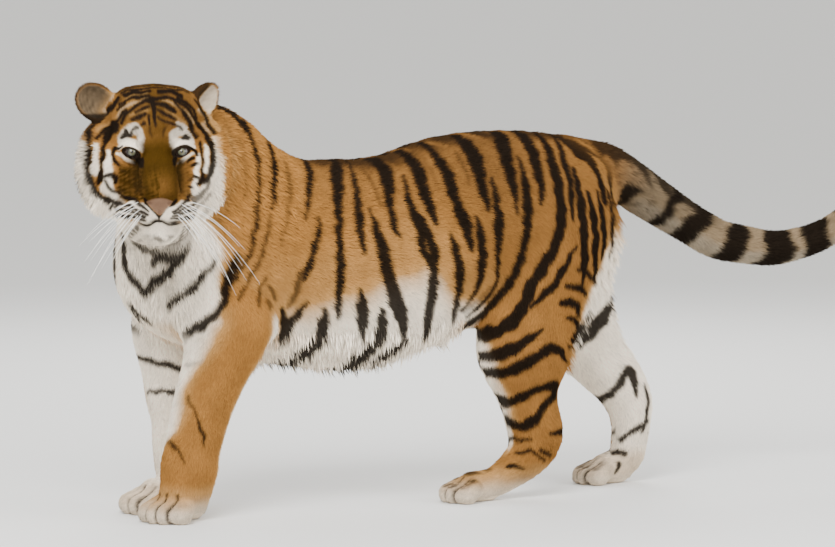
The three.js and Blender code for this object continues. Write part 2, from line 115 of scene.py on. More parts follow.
class Rope:
    """A rope of flesh through rows of (x, y, z, radius), met by a smooth curve."""

    STEPS = 3

    def __init__(self, joints, **options):
        rows = np.array(joints, float)
        rows = np.vstack([rows[0], rows, rows[-1]])
        points = []
        for p, q, r, s in zip(rows, rows[1:], rows[2:], rows[3:]):
            for t in np.arange(self.STEPS) / self.STEPS:
                rise = (r - p) * t + (2 * p - 5 * q + 4 * r - s) * t**2 + (3 * q - p - 3 * r + s) * t**3
                points.append(q + 0.5 * rise)
        points.append(rows[-2])
        self.limbs = [Limb(a[:3], b[:3], a[3], b[3], **options) for a, b in zip(points, points[1:])]
        self.low = np.min([limb.low for limb in self.limbs], axis=0)
        self.high = np.max([limb.high for limb in self.limbs], axis=0)

    def distance(self, p):
        return np.min([limb.distance(p) for limb in self.limbs], axis=0)


def join(a, b, k):
    """Smooth union of two distances over a width k."""
    h = np.maximum(k - np.abs(a - b), 0.0) / k
    return np.minimum(a, b) - h * h * k / 4.0


def carve(a, b, k):
    """Smooth cut of b out of a over a width k."""
    return -join(-a, b, k)


class Flesh:
    """Muscles blended one after another. Each is (shape, k), and a negative k carves."""

    def __init__(self, *muscles):
        self.muscles = muscles
        kept = [shape for shape, k in muscles if k > 0]
        self.low = np.min([shape.low for shape in kept], axis=0) - FAR
        self.high = np.max([shape.high for shape in kept], axis=0) + FAR

    def distance(self, p):
        away = np.linalg.norm(np.maximum(np.maximum(self.low - p, p - self.high), 0.0), axis=1)
        result = away + FAR
        near = away <= 0.0
        if near.any():
            q = p[near]
            d = None
            for shape, k in self.muscles:
                here = shape.distance(q)
                d = here if d is None else carve(d, here, -k) if k < 0 else join(d, here, k)
            result[near] = d
        return result


def limbs_of(flesh):
    """The limbs that a part is made of, with those of its ropes and without its eggs."""
    limbs = []
    for shape, _ in flesh.muscles:
        limbs += shape.limbs if isinstance(shape, Rope) else [shape] if isinstance(shape, Limb) else []
    return limbs


def follow(limbs, p):
    """The way of each place's nearest limb, the step from its axis to the place, how far along the chain of
    limbs that is, and how long the chain is."""
    nearest = np.argmin([limb.distance(p) for limb in limbs], axis=0)
    lengths = np.sqrt([limb.length2 for limb in limbs])
    starts = np.concatenate([[0.0], np.cumsum(lengths)])
    way = np.array([limb.along for limb in limbs])[nearest]
    away = p - np.array([limb.a for limb in limbs])[nearest]
    t = np.clip((away * way).sum(1) / lengths[nearest] ** 2, 0.0, 1.0)
    return way, away - t[:, None] * way, starts[nearest] + t * lengths[nearest], starts[-1]


# ----------------------------------------------------------------------------------------------------------
# The body
# ----------------------------------------------------------------------------------------------------------

RIBCAGE = [
    (-380, -16, 622, 216),
    (-250, 0, 600, 244),
    (-110, 12, 590, 257),
    (20, 23, 592, 272),
    (160, 36, 620, 259),
    (300, 48, 682, 236),
    (440, 58, 704, 224),
    (580, 70, 732, 182),
    (640, 76, 728, 132),
]
WITHERS, BRISKET = (-235, 0, 798), (-478, -34, 590)
TAIL = [
    (640, 76, 828, 62),
    (740, 86, 824, 67),
    (820, 92, 784, 65),
    (905, 97, 733, 60),
    (1000, 101, 676, 55),
    (1085, 104, 631, 54),
    (1160, 106, 612, 52),
    (1252, 108, 599, 48),
    (1325, 109, 606, 44),
    (1395, 110, 624, 42),
    (1460, 110, 654, 41),
    (1520, 108, 704, 39),
    (1562, 104, 766, 35),
    (1584, 100, 822, 27),
]
LEFT_FORELEG = dict(
    blade=(-285, -92, 740),
    shoulder=(-412, -108, 570),
    arm=[
        (-366, -140, 470, 97),
        (-400, -132, 375, 84),
        (-434, -125, 278, 75),
        (-458, -121, 181, 70),
        (-467, -120, 130, 72),
        (-474, -119, 88, 66),
    ],
    paw=(-504, -124, 40),
    heading=math.radians(180 + 34),
)
RIGHT_FORELEG = dict(
    blade=(-285, 92, 740),
    shoulder=(-410, 84, 570),
    arm=[
        (-424, 100, 450, 90),
        (-428, 92, 375, 82),
        (-424, 85, 290, 76),
        (-418, 80, 230, 70),
        (-418, 78, 170, 67),
        (-414, 76, 120, 67),
        (-412, 72, 84, 62),
    ],
    paw=(-486, 56, 38),
    heading=math.radians(180 + 16),
)
LEFT_HIND = dict(
    hip=(574, 0, 664),
    knee=(462, -44, 430),
    hamstrings=[(602, 4, 626, 112), (544, -24, 496, 98), (486, -46, 386, 90)],
    shank=[
        (462, -50, 350, 104),
        (470, -52, 284, 84),
        (482, -54, 226, 75),
        (496, -54, 158, 73),
        (474, -56, 110, 59),
        (424, -59, 70, 46),
        (374, -62, 44, 39),
        (322, -64, 35, 36),
    ],
    paw=(316, -66, 38),
    heading=math.radians(180 + 8),
)
RIGHT_HIND = dict(
    hip=(604, 142, 668),
    knee=(668, 154, 448),
    hamstrings=[(676, 138, 636, 106), (692, 146, 500, 92), (706, 148, 410, 80)],
    shank=[
        (714, 150, 394, 82),
        (768, 147, 324, 80),
        (820, 143, 270, 74),
        (854, 141, 214, 66),
        (862, 140, 160, 56),
        (858, 140, 110, 51),
        (846, 140, 66, 47),
        (800, 140, 38, 39),
    ],
    paw=(788, 140, 38),
    heading=math.radians(180 + 2),
)

# Each paw, how far its toes reach, and how far apart they are
PAWS = [(LEFT_FORELEG, 66, 31), (RIGHT_FORELEG, 66, 31), (LEFT_HIND, 60, 28), (RIGHT_HIND, 60, 28)]

# The head's own frame: the point between the eyes, and unit vectors forward, right and up. `right` is
# towards the tiger's own left ear, which is on the right as one meets its gaze.
GAZE_TURN, GAZE_LIFT = math.radians(72.5), math.radians(4.5)
BROW = np.array([-618.0, -300.0, 912.0])
FORWARD = np.array([
    -math.cos(GAZE_TURN) * math.cos(GAZE_LIFT),
    -math.sin(GAZE_TURN) * math.cos(GAZE_LIFT),
    math.sin(GAZE_LIFT),
])
RIGHT = np.array([math.sin(GAZE_TURN), -math.cos(GAZE_TURN), 0.0])
HEAD = np.array([FORWARD, RIGHT, np.cross(FORWARD, RIGHT)])
EYE = dict(radius=20.0, apart=60.0, depth=-13.0, height=-2.0)
EARS = dict(
    right_ear=dict(root=(-122, -96, 88), tip=(-102, -139, 121), faces=(0.9, -0.12, 0.1), wide=43, tall=52),
    left_ear=dict(root=(-118, 72, 86), tip=(-114, 121, 121), faces=(0.75, 0.66, 0.10), wide=34, tall=60),
)


def in_head(*place):
    """A point of the head, given as forward, right and up of the brow."""
    return BROW + np.array(place, float) @ HEAD


def head_place(p):
    """Forward, right and up of the brow, for points of the body."""
    return (p - BROW) @ HEAD.T


def body_middle(x):
    """Where the middle of the body is, from left to right, at each place along it."""
    return np.interp(x, [-600, -290, 0, 300, 600], [-150, -6, 20, 46, 72])


def eye_at(side):
    """The middle of one eyeball. side is -1 for the tiger's right and 1 for its left."""
    return in_head(EYE["depth"], side * EYE["apart"], EYE["height"])


def toe_limbs(paw, heading, reach, spread, radius):
    """The four toes of a paw, outer to inner: each from its knuckle to its tip."""
    ahead = np.array([math.cos(heading), math.sin(heading), 0.0])
    across = np.array([-math.sin(heading), math.cos(heading), 0.0])
    limbs = []
    for place in (-1.5, -0.5, 0.5, 1.5):
        forward = reach * (0.72 if abs(place) > 1 else 1.0)
        tip = np.array(paw) + ahead * forward + across * place * spread
        knuckle = np.array(paw) + ahead * forward * 0.35 + across * place * spread * 0.8
        tip[2], knuckle[2] = radius - SOLE_DEPTH, radius * 1.36
        limbs.append(Limb(knuckle, tip, radius * 0.9, radius))
    return limbs


def foreleg(blade, shoulder, arm, paw, heading):
    """Shoulder blade, upper arm, forearm and paw."""
    ahead = np.array([math.cos(heading), math.sin(heading), 0.0])
    heel = np.array(paw) - ahead * 54
    return Flesh(
        (Limb(blade, shoulder, 78, 100, flat=0.62), 40),
        (Limb(shoulder, arm[0][:3], 100, 92, flat=0.8), 60),
        (Rope(arm), 50),
        (Limb((heel[0], heel[1], 38), (paw[0], paw[1], 40), 46, 47), 24),
        *[(toe, 12) for toe in toe_limbs(paw, heading, 66, 31, 28)],
    )


def hind_leg(hip, knee, hamstrings, shank, paw, heading):
    """Thigh, hamstrings, shank and paw."""
    ball = np.array(paw) - 34 * np.array([math.cos(heading), math.sin(heading), 0.0])
    return Flesh(
        (Limb(hip, knee, 168, 118, flat=0.72), 60),
        (Rope(hamstrings, flat=0.74), 60),
        (Rope(shank, flat=0.86), 50),
        (Limb((ball[0], ball[1], 32), (paw[0], paw[1], 32), 36, 39), 20),
        *[(toe, 12) for toe in toe_limbs(paw, heading, 60, 28, 26)],
    )


def both_sides(centre, axes, k):
    """The same egg on both sides of the head."""
    f, r, u = centre
    return [(Egg(in_head(f, side * r, u), axes, HEAD), k) for side in (-1, 1)]


def skull():
    """The head's forms, without the ears."""
    return Flesh(
        (Egg(in_head(-105, 0, 54), (116, 118, 112), HEAD), 30),  # braincase
        *both_sides((-108, 58, 92), (68, 52, 60), 30),  # temples
        (Egg(in_head(-50, 0, 62), (58, 82, 78), HEAD), 36),  # forehead
        *both_sides((-80, 82, -40), (70, 64, 78), 36),  # cheekbones
        *both_sides((-116, 112, -34), (52, 76, 122), 36),  # ruffs
        (Limb(in_head(-28, 0, 12), in_head(76, 0, -100), 33, 42, flat=1.2, side=RIGHT), 24),  # nose
        *both_sides((50, 42, -144), (48, 48, 38), 24),  # whisker pads
        (Egg(in_head(20, 0, -150), (66, 66, 56), HEAD), 26),  # jaws
        (Egg(in_head(44, 0, -194), (38, 44, 30), HEAD), 20),  # chin
        (Egg(in_head(-60, 0, -150), (80, 96, 76), HEAD), 50),  # throat
        *both_sides((-34, 60, 36), (30, 38, 24), 22),  # brow ridges
        *both_sides((20, 61, -5), (33, 29, 17), -12),  # eye hollows
    )


def ear(root, tip, faces, wide, tall):
    """A rounded cup on a short neck of skin. Also gives its frame: opening, wide and tall."""
    centre, stem_root = in_head(*tip), in_head(*root)
    opening = unit(np.array(faces) @ HEAD)
    stem = unit(centre - stem_root)
    upright = unit(stem - opening * (stem @ opening))
    turn = np.array([opening, np.cross(opening, upright), upright])
    cup = Flesh(
        (Egg(centre, (25, wide, tall), turn), 10),
        (Limb(stem_root, centre, 40, 28), 26),
        (Egg(centre + opening * 25, (34, wide - 8, tall - 7), turn), -7),
    )
    return cup, centre, turn


NECK = [
    (-290, -6, 694, 200),
    (-350, -24, 784, 180),
    (-412, -60, 858, 158),
    (-500, -122, 890, 136),
    (-560, -186, 892, 118),
]
EAR_SHAPES = {name: ear(**shape) for name, shape in EARS.items()}
PARTS = {
    "trunk": Flesh(
        (Rope(RIBCAGE, flat=0.8), 1),
        (Limb(RIBCAGE[0][:3], BRISKET, 180, 116), 60),
        (Limb(WITHERS, (-60, 14, 768), 76, 72, flat=0.8), 60),
    ),
    "tail": Flesh((Rope(TAIL), 1)),
    "neck": Flesh(
        (Rope(NECK), 1),
        (Limb((-425, -44, 620), in_head(-110, 0, -110), 140, 94), 80),
        (Limb((-492, -30, 640), (-520, -70, 740), 100, 96), 60),
    ),
    "head": skull(),
    "right_ear": EAR_SHAPES["right_ear"][0],
    "left_ear": EAR_SHAPES["left_ear"][0],
    "left_foreleg": foreleg(**LEFT_FORELEG),
    "right_foreleg": foreleg(**RIGHT_FORELEG),
    "left_hind": hind_leg(**LEFT_HIND),
    "right_hind": hind_leg(**RIGHT_HIND),
}
NAMES = list(PARTS)
LEGS = NAMES[6:]


def part_distances(p):
    """How far each place is outside each part."""
    return {name: shape.distance(p) for name, shape in PARTS.items()}


def outline(d):
    """The outline of the coat, from the distances of the parts. Legs never blend into each other."""
    body = join(d["trunk"], d["tail"], 50)
    body = join(body, d["neck"], 70)
    body = join(body, d["head"], 26)
    for name in EARS:
        body = join(body, d[name], 14)
    return np.min([join(body, d[leg], 38) for leg in LEGS], axis=0)


def shares(d, width=22.0):
    """How much of each part a place belongs to, as columns in the order of NAMES."""
    table = np.stack([d[name] for name in NAMES], axis=1)
    weight = np.exp(-(table - table.min(1, keepdims=True)) / width)
    return weight / weight.sum(1, keepdims=True)


# How deep the coat lies over the skin, in millimetres, on each part.
COAT_DEPTH = dict(
    trunk=8.0, tail=10.0, neck=12.0, head=6.0, right_ear=2.5, left_ear=2.5,
    left_foreleg=5.0, right_foreleg=5.0, left_hind=5.5, right_hind=5.5,
)


def coat_depth(p, d):
    """The coat's depth: long below the belly, on the throat and cheeks, short on the face and feet."""
    depth = shares(d) @ np.array([COAT_DEPTH[name] for name in NAMES])
    x, _, z = p.T
    f, r, u = head_place(p).T
    belly = ramp(z, 465, 395) * ramp(x, -400, -300) * ramp(x, 330, 220) * ramp(d["trunk"], 60, 20)
    chest = ramp(z, 640, 480) * ramp(x, -420, -480) * ramp(d["trunk"], 40, 0)
    face = ramp(f, -95, -20) * ramp(d["head"], 60, 30)
    ruff = ramp(np.abs(r), 92, 140) * ramp(u, 60, 0) * ramp(f, -30, -90) * ramp(d["head"], 40, 0)
    depth = depth + 20.0 * belly + 5.0 * chest + 6.0 * ruff
    depth = depth * (1.0 - 0.55 * face)
    return np.where(z < 110, 2.2 + (depth - 2.2) * ramp(z, 25, 110), depth)


# ----------------------------------------------------------------------------------------------------------
# Skin: its own small forms, and the closed mesh
# ----------------------------------------------------------------------------------------------------------

LID_TILT = math.radians(20)  # the eyes' inner corners are lower than the outer ones
NOSE_TOP, NOSE_FOOT, NOSE_HALF_WIDTH = -114.0, -153.0, 37.0
CELL = 8.6  # millimetres: the size of the lattice that the skin starts from


def eye_frame(side):
    """Unit vectors for one eye: out of the head, along the opening to its outer corner, and across it."""
    along = side * math.cos(LID_TILT) * HEAD[1] + math.sin(LID_TILT) * HEAD[2]
    return np.array([HEAD[0], along, np.cross(HEAD[0], along)])


def eye_place(p, side):
    """Out, along and across one eye's opening, from the middle of the ball."""
    return (p - eye_at(side)) @ eye_frame(side).T


def mouth_line(r):
    """The height of the closed lips at a distance from the middle of the face."""
    return -167.0 - 7.0 * ramp(np.abs(r), 4, 26) + 16.0 * ramp(np.abs(r), 34, 80)


def nose_share(p):
    """1 on the bare leather of the nose, 0 on the hair round it."""
    f, r, u = head_place(p).T
    width = NOSE_HALF_WIDTH * np.clip((u - NOSE_FOOT) / (NOSE_TOP - NOSE_FOOT), 0.0, 1.0) ** 0.8
    top = NOSE_TOP - 9.0 * (r / 34.0) ** 2
    return ramp(width - np.abs(r), -1.5, 1.5) * ramp(u, top + 4, top - 4) * ramp(f, 60, 75)


def toe_gaps(p):
    """1 in the grooves between the toes of every paw, 0 elsewhere."""
    gap = np.zeros(len(p))
    low = p[:, 2] < 70
    for leg, reach, spread in PAWS:
        paw, heading = np.array(leg["paw"]), leg["heading"]
        q = p[low] - paw
        ahead = q[:, 0] * math.cos(heading) + q[:, 1] * math.sin(heading)
        across = q[:, 1] * math.cos(heading) - q[:, 0] * math.sin(heading)
        here = np.zeros(len(q))
        for place in (-1, 0, 1):
            middle = place * spread * (0.8 + 0.2 * np.clip(ahead / reach, 0, 1))
            here = np.maximum(here, np.exp(-(((across - middle) / 4.2) ** 2)))
        here *= ramp(ahead, 0.1 * reach, 0.6 * reach) * (np.abs(across) < 2.2 * spread) * (ahead < 2 * reach)
        gap[low] = np.maximum(gap[low], here)
    return gap


def skin_distance(p):
    """How far each place is outside the skin, in millimetres, and negative inside it."""
    d = part_distances(p)
    s = outline(d) + coat_depth(p, d)
    by_face = d["head"] < 60
    if by_face.any():
        q = p[by_face]
        t = s[by_face]
        for side in (-1, 1):
            lids = Egg(eye_at(side), (23, 25, 22), eye_frame(side))
            opening = Egg(eye_at(side) + 18 * HEAD[0] - 2.4 * HEAD[2], (30, 17, 8.2), eye_frame(side))
            nostril = Egg(in_head(108, side * 26, -127), (15, 8, 5), HEAD)
            t = carve(join(t, lids.distance(q), 10), opening.distance(q), 2)
            t = carve(t, nostril.distance(q), 4)
        f, r, u = head_place(q).T
        lips = np.exp(-(((u - mouth_line(r)) / 3.0) ** 2)) * ramp(np.abs(r), 84, 66) * ramp(f, 0, 30)
        philtrum = np.exp(-((r / 2.5) ** 2)) * ramp(u, -176, -166) * ramp(u, -138, -146) * ramp(f, 50, 70)
        s[by_face] = t + 5.0 * lips + 3.0 * philtrum
    return s + 6.0 * toe_gaps(p)


AT_ONCE = 150000  # places that a field is asked about in one go


def lattice(field, low, high, cell, block=5):
    """The field's values on a lattice. Blocks far from the surface only get the value at their middle."""
    blocks = np.ceil((high - low) / (cell * block)).astype(int)
    middles = np.stack(np.meshgrid(*[np.arange(n) for n in blocks], indexing="ij"), -1).reshape(-1, 3)
    at_middle = field(low + (middles * block + (block - 1) / 2) * cell)
    values = at_middle.reshape(blocks).astype(np.float32)
    for axis in range(3):
        values = np.repeat(values, block, axis=axis)
    half_diagonal = math.sqrt(3) / 2 * block * cell
    near = middles[np.abs(at_middle) < 1.25 * half_diagonal]
    inner = np.stack(np.meshgrid(*[np.arange(block)] * 3, indexing="ij"), -1).reshape(-1, 3)
    spots = (near[:, None, :] * block + inner).reshape(-1, 3)
    for part in np.array_split(spots, len(spots) // AT_ONCE + 1):
        values[tuple(part.T)] = field(low + part * cell)
    return values


def surface(values, low, cell):
    """One vertex in each cell that the surface crosses, and two triangles round each crossed edge."""
    nx, ny, nz = values.shape
    corners = [(a, b, c) for a in (0, 1) for b in (0, 1) for c in (0, 1)]
    blocks = [values[a : nx - 1 + a, b : ny - 1 + b, c : nz - 1 + c] for a, b, c in corners]
    inside = sum((block < 0).astype(np.int8) for block in blocks)
    cells = np.argwhere((inside > 0) & (inside < 8))
    number = np.full(inside.shape, -1, np.int64)
    number[tuple(cells.T)] = np.arange(len(cells))
    held = np.stack([block[tuple(cells.T)] for block in blocks], 1)
    total, crossings = np.zeros((len(cells), 3)), np.zeros(len(cells))
    for m, a in enumerate(corners):
        for n, b in enumerate(corners):
            if m < n and sum(abs(i - j) for i, j in zip(a, b)) == 1:
                va, vb = held[:, m], held[:, n]
                crossed = (va < 0) != (vb < 0)
                t = np.where(crossed, va / np.where(crossed, va - vb, 1.0), 0.0)[:, None]
                total += crossed[:, None] * (np.array(a) * (1 - t) + np.array(b) * t)
                crossings += crossed
    points = low + (cells + total / crossings[:, None]) * cell
    rings = [
        [(0, -1, -1), (0, 0, -1), (0, 0, 0), (0, -1, 0)],
        [(-1, 0, -1), (-1, 0, 0), (0, 0, 0), (0, 0, -1)],
        [(-1, -1, 0), (0, -1, 0), (0, 0, 0), (-1, 0, 0)],
    ]
    triangles = []
    for axis, ring in enumerate(rings):
        here = [slice(1, n - 1) for n in values.shape]
        there = list(here)
        there[axis] = slice(2, values.shape[axis])
        first, second = values[tuple(here)] < 0, values[tuple(there)] < 0
        spots = np.argwhere(first != second) + 1
        quad = np.stack([number[tuple((spots + np.array(step)).T)] for step in ring], 1)
        leaving = values[tuple(spots.T)] < 0
        quad = np.where(leaving[:, None], quad, quad[:, ::-1])
        one = np.linalg.norm(points[quad[:, 0]] - points[quad[:, 2]], axis=1)
        other = np.linalg.norm(points[quad[:, 1]] - points[quad[:, 3]], axis=1)
        quad = np.where((one <= other)[:, None], quad, np.roll(quad, -1, axis=1))
        triangles += [quad[:, [0, 1, 2]], quad[:, [0, 2, 3]]]
    return points, np.concatenate(triangles)


def settle(field, points, reach, rounds=2):
    """Moves points onto the surface, no further than reach."""
    moved = points.copy()
    step = 0.6
    for _ in range(rounds):
        value = field(moved)
        slope = np.stack([field(moved + step * axis) - value for axis in np.eye(3)], 1) / step
        steep = np.maximum((slope * slope).sum(1), 0.1)
        moved -= slope * (value / steep)[:, None]
        moved = points + np.clip(moved - points, -reach, reach)
    return moved


def cut(triangles, halves, pieces):
    """Triangles made anew from their corners, 0 to 2, and the middles of their edges, 3 to 5."""
    spots = np.hstack([triangles, halves])
    return [spots[:, piece] for piece in pieces]


def refine(points, triangles, longest):
    """Splits each edge that is longer than longest allows at its middle."""
    pairs = np.concatenate([triangles[:, [0, 1]], triangles[:, [1, 2]], triangles[:, [2, 0]]])
    pairs = np.sort(pairs, axis=1)
    key = pairs[:, 0].astype(np.int64) * len(points) + pairs[:, 1]
    edges, which = np.unique(key, return_inverse=True)
    a, b = points[edges // len(points)], points[edges % len(points)]
    middle = (a + b) / 2
    split = np.linalg.norm(a - b, axis=1) > longest(middle)
    number = np.where(split, len(points) + np.cumsum(split) - 1, -1)
    m = number[which].reshape(3, -1).T
    p = triangles
    out = [p[(m < 0).all(1)]]
    for turn in range(3):
        q, w = np.roll(p, -turn, axis=1), np.roll(m, -turn, axis=1)
        only = (w[:, 0] >= 0) & (w[:, 1] < 0) & (w[:, 2] < 0)
        two = (w[:, 0] >= 0) & (w[:, 1] >= 0) & (w[:, 2] < 0)
        out += [corners[only] for corners in cut(q, w, [(0, 3, 2), (3, 1, 2)])]
        out += [corners[two] for corners in cut(q, w, [(3, 1, 4), (0, 3, 4), (0, 4, 2)])]
    whole = (m >= 0).all(1)
    out += [corners[whole] for corners in cut(p, m, [(3, 4, 5), (0, 3, 5), (3, 1, 4), (5, 4, 2)])]
    return np.vstack([points, middle[split]]), np.concatenate(out)


def edge_limit(p):
    """How long an edge of the skin may be: shorter on the head, and shortest at the eyes, nose and lips."""
    f, r, u = head_place(p).T
    on_head = (f > -175) & (np.abs(r) < 220) & (np.abs(u) < 240)
    limit = np.where(on_head, 6.4, 13.0)
    eyes = np.minimum(*[np.linalg.norm(p - eye_at(side), axis=1) for side in (-1, 1)])
    lips = (f > 40) & (np.abs(r) < 80) & (np.abs(u - mouth_line(r)) < 9)
    nose = (f > 60) & (np.abs(r) < 44) & (u > NOSE_FOOT - 6) & (u < NOSE_TOP + 8)
    limit = np.where(lips | nose | (eyes < 48), 4.0, limit)
    return np.where(eyes < 36, 3.0, limit)


def corner_normals(points, triangles):
    """Smooth normals at the vertices."""
    a, b, c = (points[triangles[:, i]] for i in range(3))
    face = np.cross(b - a, c - a)
    normals = np.zeros_like(points)
    for i in range(3):
        for axis in range(3):
            normals[:, axis] += np.bincount(triangles[:, i], face[:, axis], len(points))
    return unit(normals)


def make_skin():
    """The points and triangles of the closed skin."""
    low, high = np.array([-852.0, -440.0, -30.0]), np.array([1640.0, 320.0, 1100.0])
    points, triangles = surface(lattice(skin_distance, low, high, CELL), low, CELL)
    points = settle(skin_distance, points, 4.0)
    for reach in (2.0, 1.5, 1.0):
        count = len(points)
        points, triangles = refine(points, triangles, edge_limit)
        points[count:] = settle(skin_distance, points[count:], reach, rounds=1)
    points[:, 2] = np.maximum(points[:, 2], SKIN_ABOVE_FLOOR)
    return points, triangles


# ----------------------------------------------------------------------------------------------------------
# Lie of the coat: a direction along the skin at every place
# ----------------------------------------------------------------------------------------------------------

NOSE_TIP = in_head(112, 0, -112)


def lie_of_coat(p, normals, d):
    """Unit vectors along the skin that point the way the hair points."""
    part = shares(d, 40.0)
    x, _, z = p.T
    _, r, u = head_place(p).T
    ones = np.ones(len(p))
    low_down = ramp(z, 640, 400)
    hanging = ramp(z, 500, 430)
    ways = {"trunk": np.stack([ones - 0.55 * hanging, 0 * ones, -0.25 - 0.75 * low_down - 0.9 * hanging], 1)}
    chest = (ramp(x, -380, -470) * ramp(z, 800, 640))[:, None]
    ways["trunk"] = ways["trunk"] * (1 - chest) + chest * np.array([0.25, 0.1, -1.0])
    behind = np.array([0.75, 0.55, -0.75])
    throat = ramp(z, 800, 700)[:, None] * ramp(x, -360, -440)[:, None]
    ways["neck"] = behind * (1 - throat) + throat * np.array([0.15, 0.05, -1.0])
    spread = unit(p - NOSE_TIP + 26 * HEAD[0])
    cheeks = (ramp(np.abs(r), 60, 120) * ramp(u, 40, -20))[:, None]
    swept = unit(np.array([-0.75, 0.0, -0.65]) @ HEAD)
    ways["head"] = spread * (1 - 0.7 * cheeks) + 0.7 * cheeks * swept
    for name, (_, centre, turn) in EAR_SHAPES.items():
        ways[name] = unit(p - centre + 60 * turn[2] - 20 * turn[0])
    for name in ("tail", *LEGS):
        ways[name] = follow(limbs_of(PARTS[name]), p)[0]
    way = sum(part[:, [i]] * unit(ways[name]) for i, name in enumerate(NAMES))
    way -= normals * (way * normals).sum(1, keepdims=True)
    return unit(way)


# ----------------------------------------------------------------------------------------------------------
# Markings: strokes in centimetres. Each point of a stroke is (place, place, half width).
# ----------------------------------------------------------------------------------------------------------

